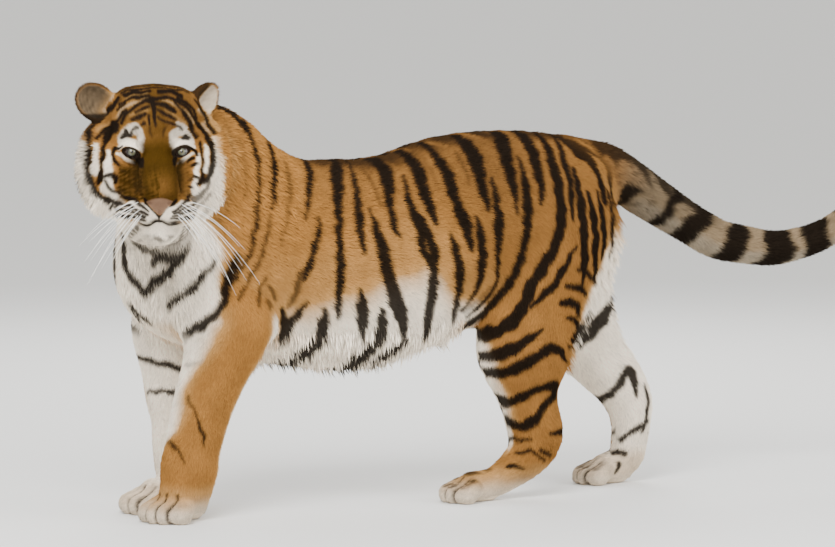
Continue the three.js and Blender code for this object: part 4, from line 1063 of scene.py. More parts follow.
def turn_about_leg(q, arm, outward):
    """Degrees round a foreleg from straight ahead towards its outer side."""
    rows = np.array(arm)[::-1]
    x = np.interp(q[:, 2], rows[:, 2], rows[:, 0])
    y = np.interp(q[:, 2], rows[:, 2], rows[:, 1])
    return np.degrees(np.arctan2(outward * (q[:, 1] - y), x - q[:, 0]))


def tail_black(p, station, nz):
    """How black the tail is: its rings, its dark upper side near the body, and the mottling there."""
    ring = np.max([ramp(station, a - 12, a + 2) * ramp(station, b + 14, b) for a, b in TAIL_RINGS], axis=0)
    top = ramp(nz + 0.25 * wobble(p, 50, 11), 0.15, 0.55) * ramp(station, 500, 400)
    under = ramp(nz, 0.15, -0.25) * ramp(station, 155, 170) * ramp(station, 235, 215)
    mottled = 0.62 * ramp(wobble(p * (1.0, 1.0, 1.6), 42, 49), 0.15, 0.7) * ramp(station, 470, 330)
    mottled = np.maximum(mottled, 0.36 * ramp(station, 430, 300))
    return np.max([ring, 0.92 * top, under, mottled], axis=0) * ramp(station, 0, 60)


def head_black(p, normals, f, r, u):
    """How black the head is: its stripes, the rims of the eyes, the lips and the furrow above them."""
    face = np.maximum(
        painted(r, u, FACE_STRIPES, 0.22, 1.0, 1.3), faintly(r, u, FAINT_FACE_STRIPES, 0.25, 1.2)
    )
    beside_head = ramp(np.abs(normals @ HEAD[1]), 0.5, 0.85) * ramp(f, -9, -13)
    face *= in_front(f) * (1.0 - beside_head)
    face = np.maximum(face, painted(f, u, HEAD_SIDE_STRIPES, 0.4, 1.0, 1.2) * beside_head)
    crown = painted(r, f, CROWN_STRIPES, 0.3, 1.0, 1.25) * ramp(u, 9, 12)
    rim = np.zeros(len(p))
    for side in (-1, 1):
        out, along, across = eye_place(p, side).T
        apart = np.hypot(along / 23.5, (across - 2.2) / 14.0)
        rim = np.maximum(rim, ramp(apart, 1.12, 0.98) * (out > 0))
    lips = np.exp(-(((u * 10 - mouth_line(r * 10)) / 4.6) ** 2)) * ramp(np.abs(r), 6.4, 4.0) * ramp(f, 0, 3)
    philtrum = np.exp(-((r / 0.32) ** 2)) * ramp(u, -17.2, -16.6) * ramp(u, -14.6, -15.2) * ramp(f, 5, 7)
    jowl = painted(r, u, JOWLS, 0.5) * ramp(wobble(p, 20, 33), -1.0, 0.3) * in_front(f)
    return np.max([face, crown, rim, lips, philtrum, 0.8 * jowl], axis=0)


def head_pale(f, r, u):
    """How pale the head is: its white patches, cheeks and chin."""
    pale = np.maximum(painted(r, u, FACE_WHITES, 0.4), faintly(r, u, FAINT_WHITES, 0.35)) * ramp(f, -21, -16)
    cheeks = ramp(u, -8, -13) * ramp(np.abs(r), 6, 9) + 0.8 * ramp(-r, 16.4, 18) * ramp(u, 5, 1)
    pale = np.maximum(pale, np.clip(cheeks + ramp(u, -16, -18), 0, 1) * ramp(f, -21, -14))
    return pale * (1.0 - 0.50 * ramp(r + 0.25 * (u + 8), 16.2, 18.6) * ramp(u, -14, -10))


def head_brown(p, f, r, u):
    """How brown the head is, and how dark: the bridge of the nose, the hollows beside it, the cheeks below
    the eyes and the brow. The hollows beside the bridge get painted shade."""
    half = np.interp(u, [-9, -4, 2, 8], [4.6, 4.8, 4.0, 3.2])
    bridge = ramp(np.abs(r - 0.2), half + 0.9, half - 0.9) * ramp(u, 8.5, 3) * ramp(u, -14.0, -11.4)
    bridge *= in_front(f) * (0.97 - 0.25 * np.exp(-((u + 8.5) ** 2) / 9.0 - ((r - 0.8) / 3.0) ** 2))
    # Painted shade: the hollows along both sides of the bridge are painted brown and partly black.
    beside = np.exp(-(((np.abs(r - 0.3) - 5.2) / 1.5) ** 2)) * ramp(u, 0.5, -3) * ramp(u, -12, -9)
    beside *= in_front(f)
    cheek = ramp(r, -10.2, -8.4) * ramp(r, 9.4, 7.6) * ramp(u, -2.0, -4) * ramp(u, -12.8, -11.2)
    cheek *= in_front(f) * np.where(r < 0, 0.95, 0.62)
    streaks = 0.5 + 0.5 * wobble(p * (1.0, 1.0, 2.6), 16, 41)
    brow = 0.24 + 0.26 * ramp(np.abs(r), 10, 8) + 0.25 * ramp(np.abs(r), 3.0, 1.5)
    brow *= ramp(u, 2, 4) * ramp(np.abs(r), 15, 12) * ramp(f, -26, -16)
    brown = np.max([bridge * ramp(u, 8, 0) ** 0.5, cheek * (0.75 + 0.4 * streaks), beside, brow], axis=0)
    return np.clip(brown, 0, 1), 0.34 * beside + 0.22 * cheek * streaks


def paint_ears(p, normals, part, black, pale):
    """Black and pale with the ears painted over them, and how much of each place is the inside of a cup."""
    cup = np.zeros(len(p))
    for name, (_, centre, turn) in EAR_SHAPES.items():
        out, wide, tall = ((p - centre) @ turn.T).T
        is_left_ear = name == "left_ear"
        opens = normals @ turn[0]
        on_ear = part[name] > 0.4
        reach = np.hypot(wide / EARS[name]["wide"], tall / EARS[name]["tall"])
        inside = ramp(reach, 0.95, 0.80) * (opens > -0.1) * (out > -16)
        spot = ramp(np.hypot(wide / 14.0, (tall - 6) / 16.0) + 0.15 * wobble(p, 14, 47), 1.15, 0.8)
        rear = ramp(-opens, 0.0, 0.3) * ramp(tall, -46, -34)
        edge = np.exp(-(((reach - 1.0) / 0.10) ** 2)) * ramp(tall, -20, 5)
        root = ramp((p - centre) @ HEAD[2], -18, -32) * (not is_left_ear)
        locks = ramp(tall, 6, -34) * (opens > -0.2) * ramp(wide, 30, 5)
        fold = ramp(wide - 0.2 * tall, 0, 15) * (opens > -0.2) * is_left_ear
        bright = 0.85 * inside * is_left_ear * ramp(tall, -34, -8) * (1 - fold)
        white = np.max([bright, 0.55 * locks, rear * spot], axis=0)
        dark = np.max([0.85 * edge, rear * (1 - spot), 0.95 * root, 0.88 * fold], axis=0)
        cup = np.where(on_ear, inside * (1 - 0.8 * locks), cup)
        pale = np.where(on_ear, white, pale)
        black = np.where(on_ear, dark, black)
    return black, pale, cup


def markings(p, normals, d):
    """The coat's colours at each place: how black, pale, deep in colour, brown and grey it is."""
    part = dict(zip(NAMES, shares(d, 14.0).T))
    q = p + 3.0 * np.stack([wobble(p, 46, seed) for seed in (1, 2, 3)], 1)
    x, _, z = (q / 10.0).T
    f, r, u = (head_place(q) / 10.0).T
    _, ny, nz = normals.T
    # The strokes are the left side's. The right side shows them shifted along the body, and bent a little.
    left = q[:, 1] < body_middle(q[:, 0])
    limb_shift = np.interp(z, [10, 16, 21, 27, 32, 39, 45, 55, 66], [37, 37, 37, 34, 30, 25, 21, 10, 2])
    right_hind, left_hind = part["right_hind"] > 0.5, part["left_hind"] > 0.5
    hind = part["left_hind"] + part["right_hind"]
    side_x = np.where(left, x, np.where(right_hind, x - limb_shift, x + 2.7 + 1.1 * np.sin(z / 6.0)))
    on_face = np.maximum(part["head"], ramp(f, -14, -8) * ramp(d["head"], 40, 15))
    on_head = np.clip(on_face + part["right_ear"] + part["left_ear"], 0, 1)
    torso = part["trunk"] + part["neck"]

    # black
    flank = painted(side_x, z, FLANK_STRIPES, 0.35, 1.0, 1.42)
    outer_face = 1 - ramp(ny, -0.2, 0.3) * ramp(z, 50, 44)
    outer_face = np.where(part["right_foreleg"] > 0.4, ramp(ny, 0.5, 0.8), outer_face)
    flank = np.maximum(flank, faintly(side_x, z, FAINT_STRIPES, 0.4, 1.3) * outer_face)
    right_neck = painted(x, z, RIGHT_NECK_STRIPES, 0.4, 1.0, 1.2) * ramp(ny, -0.1, 0.3)
    right_neck *= part["neck"] > 0.3
    flank = np.maximum(flank, right_neck)
    inner_x = np.where(right_hind, x, x + limb_shift)
    inner_leg = (right_hind & (ny < 0.3) & (z < 50)) | (left_hind & (ny > 0.15) & (z < 46))
    flank = np.where(inner_leg, painted(inner_x, z, INNER_HIND_STRIPES, 0.35, 1.0, 1.65), flank)
    round_chest = turn_from_ahead(q, CHEST_AXIS)
    chest = painted(np.abs(round_chest), z, CHEST_STRIPES, 0.45, DEGREE_ON_CHEST, 1.6)
    chest *= ramp(x, -33, -38) * ramp(z, 42, 46)
    leg = painted(turn_from_ahead(q, FORELEG_AXIS), z, RIGHT_FORELEG_STRIPES, 0.35, DEGREE_ON_FORELEG, 1.3)
    dorsal = ramp(nz, 0.80, 0.97) * ramp(x, -24, -6) * ramp(wobble(p, 60, 8), -1.2, 0.0)
    body_black = np.max([flank, chest, 0.85 * dorsal], axis=0)
    body_black *= 1.0 - np.clip(on_head + part["tail"], 0, 1)
    black = np.maximum(body_black, leg * (part["right_foreleg"] > 0.5))
    # Painted shadow: the grooves between the toes are painted almost black.
    black = np.maximum(black, 0.95 * toe_gaps(p))

    black = np.maximum(black, head_black(p, normals, f, r, u) * ramp(on_head, 0.2, 0.5))
    station = follow(limbs_of(PARTS["tail"]), q)[2] + 10.0 * wobble(p, 90, 12) - 12.0 * nz
    black = np.maximum(black, tail_black(p, station, nz) * ramp(part["tail"], 0.3, 0.6))

    # pale
    edge = np.interp(x, [-45, -30, -20, -10, 0, 10, 16, 20, 26, 32, 40, 50, 62, 68],
                     [49, 49, 49, 51, 53.5, 56, 57, 54, 48, 44, 39, 30, 52, 68])
    edge = edge + 1.5 * wobble(p, 150, 46)
    below_from = np.interp(x, [0, 20, 45], [75, 60, 50])
    below = ramp(nz, -0.1, -0.5) * part["trunk"] * ramp(z, below_from, below_from - 9)
    pale = np.max([ramp(z, edge + 11, edge - 8), 0.20 * ramp(z, edge + 22, edge + 5)], axis=0) * torso
    pale = np.maximum(pale, below)
    levels = [40, 46, 50, 55, 60, 66, 72, 78, 86]
    left_edge = np.interp(z, levels, [95, 84, 80, 86, 88, 86, 76, 58, 30])
    right_edge = np.interp(z, levels, [70, 66, 64, 64, 62, 54, 38, 16, -8])
    turned = round_chest + 4 * wobble(p, 110, 48)
    throat = ramp(turned, left_edge + 9, left_edge - 9) * ramp(turned, -right_edge - 9, -right_edge + 9)
    throat *= ramp(x, -33, -38) * ramp(z, 92, 84) * ramp(z, 43, 49)
    beyond = 0.32 * ramp(round_chest, -10, -40)
    under_neck = ramp(nz, 0.02 - beyond, -0.30 - beyond) * part["neck"] * ramp(x, -36, -44)
    behind_ruff = 0.32 * ramp(d["head"], 45, 0) * ramp(u, 8, 1) * part["neck"]
    pale = np.max([pale, throat, under_neck, behind_ruff], axis=0)
    front_edge = np.interp(z, [9, 16, 22, 35, 45, 52], [-60, -30, 22, 34, 48, 72])
    for leg, shape, outward in (("left_foreleg", LEFT_FORELEG, -1), ("right_foreleg", RIGHT_FORELEG, 1)):
        turn = turn_about_leg(q, shape["arm"], outward)
        starts_at = front_edge if outward < 0 else np.maximum(front_edge, 30)
        starts_at = starts_at + 7 * wobble(p, 120, 45)
        coloured = 0.99 * ramp(turn, starts_at - 28, starts_at + 26) * ramp(turn, 166, 130)
        pale = np.where(part[leg] > 0.4, np.maximum((1 - coloured) * ramp(z, 54, 47), throat), pale)
    for leg, outward, above_paw in (("left_hind", -ny, ramp(z, 9, 15)), ("right_hind", ny, 1.0)):
        pale = np.where(part[leg] > 0.4, ramp(outward, 0.40, 0.08) * ramp(z, 66, 56) * above_paw, pale)
    thigh_front = np.interp(z, [14, 18, 25, 30, 40, 46], [40, 42.5, 41, 38, 35, 32])
    lead = ramp(side_x, thigh_front + 1.5, thigh_front - 1.5) * ramp(z, 47, 44) * ramp(z, 11, 15) * hind
    thigh_back = np.interp(z, [34, 40, 50, 60, 68], [56.5, 58, 61.5, 66, 69.5])
    trail = ramp(side_x, thigh_back - 1.5, thigh_back + 2.6) * ramp(z, 72, 62) * ramp(z, 32, 40) * hind
    pale = np.max([pale, lead, trail], axis=0)
    pale = np.maximum(pale, part["tail"] * ramp(station, 90, 330) * (0.30 + 0.6 * ramp(nz, 0.0, -0.6)))
    pale = np.where(on_face > 0.4, head_pale(f, r, u), pale)
    black, pale, cup = paint_ears(p, normals, part, black, pale)

    # deep, brown and grey
    deep = 0.75 * ramp(z, 62, 88) * part["trunk"] * ramp(x, -38, -8)
    deep = deep * ramp(x, 60, 20) + ramp(x, 18, 42) * (torso + hind) * (0.30 + 0.32 * ramp(z, 45, 70))
    deep = deep + 0.5 * ramp(u, 0, 6) * on_head + 0.10 * ramp(z, 80, 98) * part["neck"]
    brown, painted_shade_and_streaks = head_brown(p, f, r, u)
    brown *= on_face
    # The painted shade beside the bridge and the cheeks' own dark streaks darken the face.
    black = np.maximum(black, painted_shade_and_streaks * on_face)
    # Painted shade below the jaw, mottled black over grey.
    below_jaw_shade = painted(r, u, BELOW_JAW_SHADE, 2.0) * ramp(f, -28, -16)
    black = np.maximum(black, 0.42 * below_jaw_shade * ramp(wobble(p, 30, 43), 0.1, 0.9))
    # Painted shade in the ear cups: browner, greyer and blacker inside, the right ear's far more.
    brown = np.maximum(brown, 0.30 * cup)
    cup_grey = cup * np.where(part["left_ear"] > 0.4, 0.25, 0.7)
    far_cup_shade = 0.50 + 0.15 * wobble(p * (1.0, 1.0, 0.5), 15, 44)
    cup_black = cup * np.where(part["left_ear"] > 0.4, 0.10, far_cup_shade)
    grey = np.max([0.85 * part["tail"] * ramp(station, 40, 240), cup_grey, 0.30 * below_jaw_shade], axis=0)
    # Painted shade below the lower lip, in grey.
    chin = painted(r, u, CHIN, 1.2) * in_front(f)
    # Painted shade: the outer edge of the tiger's right cheek is greyed.
    far_cheek_shade = ramp(r, -14.5, -17) * on_head
    grey = np.max([grey, 0.22 * ramp(z, 9.0, 4.0), 0.28 * chin, 0.35 * far_cheek_shade], axis=0)
    on_paw = ramp(z, 10.0, 6.0)
    pale = pale + (np.maximum(0.42 + 0.45 * ramp(z, 6, 1.5), 0.78 * pale) - pale) * on_paw
    pale = np.clip(pale, 0, 1)
    most = 0.99 - 0.017 * pale * (1 - part["tail"])  # black over white is never quite full
    black = np.clip(np.maximum(black, cup_black), 0, most)
    return dict(black=black, pale=pale, deep=np.clip(deep, 0, 1), brown=brown, grey=np.clip(grey, 0, 1))


# ----------------------------------------------------------------------------------------------------------
# Materials
# ----------------------------------------------------------------------------------------------------------

ORANGE = (0.385, 0.176, 0.0455, 1)
RUST = (0.186, 0.087, 0.025, 1)
GOLD = (0.545, 0.305, 0.106, 1)
CREAM = (0.98, 0.86, 0.70, 1)
OCHRE = (0.047, 0.0245, 0.0035, 1)
ASH = (0.212, 0.169, 0.112, 1)
SOOT = (0.012, 0.0085, 0.006, 1)
NOSE_BROWN, NOSE_PINK = (0.115, 0.066, 0.041, 1), (0.184, 0.110, 0.072, 1)
PUPIL = (0.004, 0.004, 0.004, 1)
MARKS = ("black", "pale", "deep", "brown", "grey")


def node(tree, kind, inputs=None, **settings):
    """A node of a tree. Its inputs, by name or number, are values, or sockets to link from."""
    made = tree.nodes.new(kind)
    for key, value in settings.items():
        setattr(made, key, value)
    for key, value in (inputs or {}).items():
        if isinstance(value, bpy.types.NodeSocket):
            tree.links.new(value, made.inputs[key])
        else:
            made.inputs[key].default_value = value
    return made


def mixed(tree, factor, a, b, blend="MIX"):
    """The colour socket of a mix of two colours."""
    made = node(tree, "ShaderNodeMix", {0: factor, 6: a, 7: b}, data_type="RGBA", blend_type=blend)
    return made.outputs[2]


def mapped(tree, value, low, high, start=0.0, end=1.0):
    """A value that goes from start to end, as one that goes from low to high."""
    inputs = {"Value": value, "From Min": start, "From Max": end, "To Min": low, "To Max": high}
    return node(tree, "ShaderNodeMapRange", inputs).outputs["Result"]


def noise(tree, place, scale, detail):
    """Noise over a place, from 0 to 1."""
    made = node(tree, "ShaderNodeTexNoise", {"Vector": place, "Scale": scale, "Detail": detail})
    return made.outputs["Fac"]


def object_place(tree):
    return node(tree, "ShaderNodeTexCoord").outputs["Object"]


def attribute(tree, name):
    return node(tree, "ShaderNodeAttribute", attribute_name=name).outputs["Fac"]


def node_group(name, inputs, outputs):
    """An empty shader group with named sockets, and its input and output nodes."""
    group = bpy.data.node_groups.new(name, "ShaderNodeTree")
    for socket_name, kind in inputs:
        group.interface.new_socket(socket_name, in_out="INPUT", socket_type=kind)
    for socket_name, kind in outputs:
        group.interface.new_socket(socket_name, in_out="OUTPUT", socket_type=kind)
    return group, group.nodes.new("NodeGroupInput"), group.nodes.new("NodeGroupOutput")


def coat_colour_group():
    """The colours of the coat, laid over each other in the order that the eye sees them."""
    names = [mark.capitalize() for mark in MARKS] + ["Tint", "Tip"]
    group, start, end = node_group(
        "coat_colour", [(n, "NodeSocketFloat") for n in names], [("Color", "NodeSocketColor")]
    )
    place = object_place(group)
    patches, specks = noise(group, place, 7.0, 3.0), noise(group, place, 160.0, 2.0)
    colour = mixed(group, start.outputs["Deep"], ORANGE, RUST)
    colour = mixed(group, patches, colour, mixed(group, 0.35, colour, RUST))
    for tone, begin in ((GOLD, 0.0), (CREAM, 0.4)):
        share = mapped(group, start.outputs["Pale"], 0.0, 1.0, begin, begin + 0.6)
        colour = mixed(group, share, colour, tone)
    for mark, tone in (("Brown", OCHRE), ("Grey", ASH), ("Black", SOOT)):
        colour = mixed(group, start.outputs[mark], colour, tone)
    # Tip: painted shade darkens each tuft's root, and painted light lightens its tip.
    for value, low, high in (
        (start.outputs["Tint"], 0.85, 1.22), (start.outputs["Tip"], 0.79, 1.14), (specks, 0.88, 1.12),
    ):
        colour = mixed(group, 1.0, colour, mapped(group, value, low, high), "MULTIPLY")
    group.links.new(colour, end.inputs["Color"])
    return group


def hair_grain_group():
    """The fine grain of hair or hide, as a height."""
    group, start, end = node_group(
        "hair_grain", [("Scale", "NodeSocketFloat")], [("Height", "NodeSocketFloat")]
    )
    grain = noise(group, object_place(group), start.outputs["Scale"], 4.0)
    group.links.new(grain, end.inputs["Height"])
    return group


COAT_COLOUR, HAIR_GRAIN = coat_colour_group(), hair_grain_group()


def finish_of(name, sheen=0.0, specular=0.5, coat=0.0):
    """A new material, and its shader with the constant parts of its finish."""
    material = bpy.data.materials.new(name)
    material.use_nodes = True
    shader = material.node_tree.nodes["Principled BSDF"]
    shader.inputs["Sheen Weight"].default_value = sheen
    shader.inputs["Specular IOR Level"].default_value = specular
    shader.inputs["Coat Weight"].default_value = coat
    shader.inputs["Coat Roughness"].default_value = 0.03
    return material, material.node_tree, shader


def bumpy(tree, shader, scale, strength, distance=0.001):
    """Lets the fine grain of hair or hide tilt a shader's surface."""
    grain = node(tree, "ShaderNodeGroup", {"Scale": scale}, node_tree=HAIR_GRAIN).outputs["Height"]
    bump = node(tree, "ShaderNodeBump", {"Strength": strength, "Distance": distance, "Height": grain})
    tree.links.new(bump.outputs["Normal"], shader.inputs["Normal"])


def coat_material(name, with_leather=False):
    """Hair in the colours of the markings, with the leather of the nose where that is asked for."""
    material, tree, shader = finish_of(name, specular=0.0)
    sockets = {mark.capitalize(): attribute(tree, mark) for mark in MARKS}
    sockets["Tint"], sockets["Tip"] = attribute(tree, "tint"), attribute(tree, "tip")
    colour = node(tree, "ShaderNodeGroup", sockets, node_tree=COAT_COLOUR).outputs["Color"]
    rough = mapped(tree, sockets["Tint"], 0.62, 0.80)
    if with_leather:
        leather = attribute(tree, "leather")
        pits = node(tree, "ShaderNodeTexVoronoi", {"Scale": 900.0}).outputs["Distance"]
        colour = mixed(tree, leather, colour, mixed(tree, pits, NOSE_BROWN, NOSE_PINK))
        rough = mapped(tree, leather, 0.75, 0.38)
    tree.links.new(colour, shader.inputs["Base Color"])
    tree.links.new(rough, shader.inputs["Roughness"])
    bumpy(tree, shader, 700.0, 0.35)
    return material


def eye_material():
    """Pupil, pale iris with its fibres, dark edge and brown white of the eye, under a wet shine."""
    material, tree, shader = finish_of("eye_wet", specular=0.15, coat=0.8)
    reach = attribute(tree, "from_pupil")
    ramp_node = node(tree, "ShaderNodeValToRGB", {"Fac": reach})
    stops = [
        (0.0, PUPIL), (0.14, PUPIL), (0.165, (0.10, 0.08, 0.03, 1)), (0.26, (0.095, 0.095, 0.055, 1)),
        (0.39, (0.065, 0.068, 0.045, 1)), (0.45, (0.02, 0.017, 0.011, 1)), (0.51, (0.012, 0.009, 0.007, 1)),
        (1.0, (0.05, 0.03, 0.02, 1)),
    ]
    elements = ramp_node.color_ramp.elements
    for place, colour in stops[1:-1]:
        elements.new(place).color = colour
    elements[0].color, elements[-1].color = stops[0][1], stops[-1][1]
    fibres = node(tree, "ShaderNodeTexNoise", {"Scale": 900.0, "Detail": 3.0}).outputs["Fac"]
    colour = mixed(tree, 1.0, ramp_node.outputs["Color"], mapped(tree, fibres, 0.7, 1.3), "MULTIPLY")
    tree.links.new(colour, shader.inputs["Base Color"])
    shader.inputs["Roughness"].default_value = 0.25
    bumpy(tree, shader, 1200.0, 0.02, 0.0002)
    return material


def whisker_material():
    """White hair, a little yellower in places."""
    material, tree, shader = finish_of("whisker_white", sheen=0.1, specular=0.5)
    patches = noise(tree, object_place(tree), 60.0, 2.0)
    colour = mixed(tree, patches, (0.80, 0.77, 0.70, 1), (0.93, 0.92, 0.88, 1))
    tree.links.new(colour, shader.inputs["Base Color"])
    shader.inputs["Roughness"].default_value = 0.4
    bumpy(tree, shader, 500.0, 0.1)
    return material


# ----------------------------------------------------------------------------------------------------------
# Pieces
# ----------------------------------------------------------------------------------------------------------


def add_piece(name, points, triangles, values, material, normals=None, bake_places=None):
    """Makes a mesh piece of the tiger that rides on its body. values are its vertex attributes."""
    mesh = bpy.data.meshes.new(name)
    count = len(triangles)
    mesh.vertices.add(len(points))
    mesh.vertices.foreach_set("co", row_frame(points).astype(np.float32).ravel())
    mesh.loops.add(3 * count)
    mesh.loops.foreach_set("vertex_index", triangles.astype(np.int32).ravel())
    mesh.polygons.add(count)
    mesh.polygons.foreach_set("loop_start", np.arange(0, 3 * count, 3, dtype=np.int32))
    mesh.polygons.foreach_set("use_smooth", np.ones(count, bool))
    for key, numbers in values.items():
        mesh.attributes.new(key, "FLOAT", "POINT").data.foreach_set("value", numbers.astype(np.float32))
    if bake_places is not None:
        layer = mesh.uv_layers.new(name="OFBake")
        layer.uv.foreach_set("vector", bake_places[triangles.ravel()].astype(np.float32).ravel())
    mesh.update(calc_edges=True)
    if normals is not None:
        mesh.normals_split_custom_set_from_vertices(normals.astype(np.float32))
    mesh.materials.append(material)
    piece = bpy.data.objects.new(name, mesh)
    bpy.context.scene.collection.objects.link(piece)
    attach(piece, "root")
    return piece


FLESH_NODES = [
    "trunk", "neck", "head", "left_ear", "right_ear", "left_forearm", "right_forearm", "left_forepaw",
    "right_forepaw", "left_thigh", "right_thigh", "left_shank", "right_shank", "left_hind_paw",
    "right_hind_paw", "tail_base", "tail_middle", "tail_tip",
]

skin_points, skin_triangles = make_skin()
skin_normals = corner_normals(skin_points, skin_triangles)
skin_distances = part_distances(skin_points)
skin_marks = markings(skin_points, skin_normals, skin_distances)
skin_marks["leather"] = nose_share(skin_points)
skin_marks["black"] *= 1.0 - skin_marks["leather"]
skin_marks["tint"] = np.full(len(skin_points), 0.45)
# The skin takes a fixed share of the painted shade that darkens the roots of the tufts.
skin_marks["tip"] = np.full(len(skin_points), 0.35)
hide = coat_material("hide", with_leather=True)
skin = add_piece("skin", skin_points, skin_triangles, skin_marks, hide)
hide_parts(*FLESH_NODES)


# ----------------------------------------------------------------------------------------------------------
# Coat: small solid tufts on the skin
# ----------------------------------------------------------------------------------------------------------

# A tuft's corners as (along, across, height, ridge), and its triangles, which face outwards. Height is a
# share of how far the tuft rises, ridge a share of its width.
SHORT_TUFT = (
    np.array([(0, -0.5, 0, 0), (0, 0.5, 0, 0), (0.3, 0, 0.4, 0.22), (1, 0, 1, 0)]),
    np.array([(0, 3, 2), (1, 2, 3), (0, 2, 1), (0, 1, 3)]),
)
LONG_TUFT = (
    np.array([
        (0, -0.5, 0, 0), (0, 0.5, 0, 0), (0, 0, 0.3, 0.2), (0.5, -0.42, 0.68, 0), (0.5, 0.42, 0.68, 0),
        (0.5, 0, 0.85, 0.2), (1, 0, 1, 0),
    ]),
    np.array([
        (0, 3, 5), (0, 5, 2), (1, 2, 5), (1, 5, 4), (0, 1, 4), (0, 4, 3), (3, 6, 5), (5, 6, 4), (4, 6, 3),
        (0, 2, 1),
    ]),
)
LONG_FROM = 30.0  # millimetres: tufts longer than this bend
PATCH = 0.003  # how wide a tuft's patch of the bake map is
PATCHES_FROM, PATCHES_SPREAD = 0.005, 0.985  # the part of the bake map that the patches take
PIECE_LIMIT = 196000  # triangles
ROOT_DEPTH = 0.8  # millimetres that a tuft's root sits below the skin
HEAD_MIDDLE = in_head(-60, 0, -30)


def along_part(name, p):
    """Where each place is on an unwrap of one part: along it and round it, each from 0 to 1."""
    if name in EAR_SHAPES or name == "head":
        centre, turn = (HEAD_MIDDLE, HEAD) if name == "head" else EAR_SHAPES[name][1:]
        out, across, up = ((p - centre) @ turn.T).T
        lift = np.arcsin(np.clip(up / np.sqrt(out**2 + across**2 + up**2), -1, 1))
        return np.stack([lift / math.pi + 0.5, np.arctan2(across, out) / (2 * math.pi) + 0.5], 1)
    way, away, station, whole = follow(limbs_of(PARTS[name]), p)
    first = unit(np.cross(way, (0.2, 1.0, 0.3)))
    second = np.cross(unit(way), first)
    turn = np.arctan2((away * first).sum(1), (away * second).sum(1)) / (2 * math.pi) + 0.5
    return np.stack([station / whole, turn], 1)


def tuft_length(p, depth):
    """The length of the hair at each place, from how deep the coat lies there."""
    length = 5.5 + 1.9 * depth + 0.6 * np.maximum(depth - 9.0, 0.0)
    by_head = ramp(head_place(p)[:, 0], -190, -150)
    length = np.where(by_head > 0.5, np.minimum(length, 30.0), length)
    f, r, u = head_place(p).T
    for side in (-1, 1):
        out, along, across = eye_place(p, side).T
        beyond = (np.hypot(along / 20.0, across / 11.0) - 1.0) * 14.0
        beyond = np.where(out > -20, beyond, 90.0)
        length = np.minimum(length, 3.0 + 0.32 * np.maximum(beyond, 0.0))
    beside_nose = np.hypot(np.maximum(np.abs(r) - 30, 0), np.maximum(np.abs(u + 130) - 20, 0))
    beside_lips = np.abs(u - mouth_line(r))
    muzzle = np.where(f > 20, np.minimum(beside_nose, beside_lips), 90.0)
    return np.minimum(length, 4.5 + 0.25 * muzzle)


def tuft_width(length):
    """The width of tufts of a length, in millimetres."""
    return 0.9 + 0.115 * np.minimum(length, 27.0)


def bare(p, normals, leather):
    """Where no hair grows: the nose, the eyes, the lips and the soles."""
    f, r, u = head_place(p).T
    nothing = (leather > 0.4) | ((normals[:, 2] < -0.55) & (p[:, 2] < 16))
    for side in (-1, 1):
        out, along, across = eye_place(p, side).T
        nothing |= (np.hypot(along / 20.0, across / 11.5) < 1.0) & (out > -20)
    return nothing | ((f > 30) & (np.abs(r) < 66) & (np.abs(u - mouth_line(r)) < 2.0))


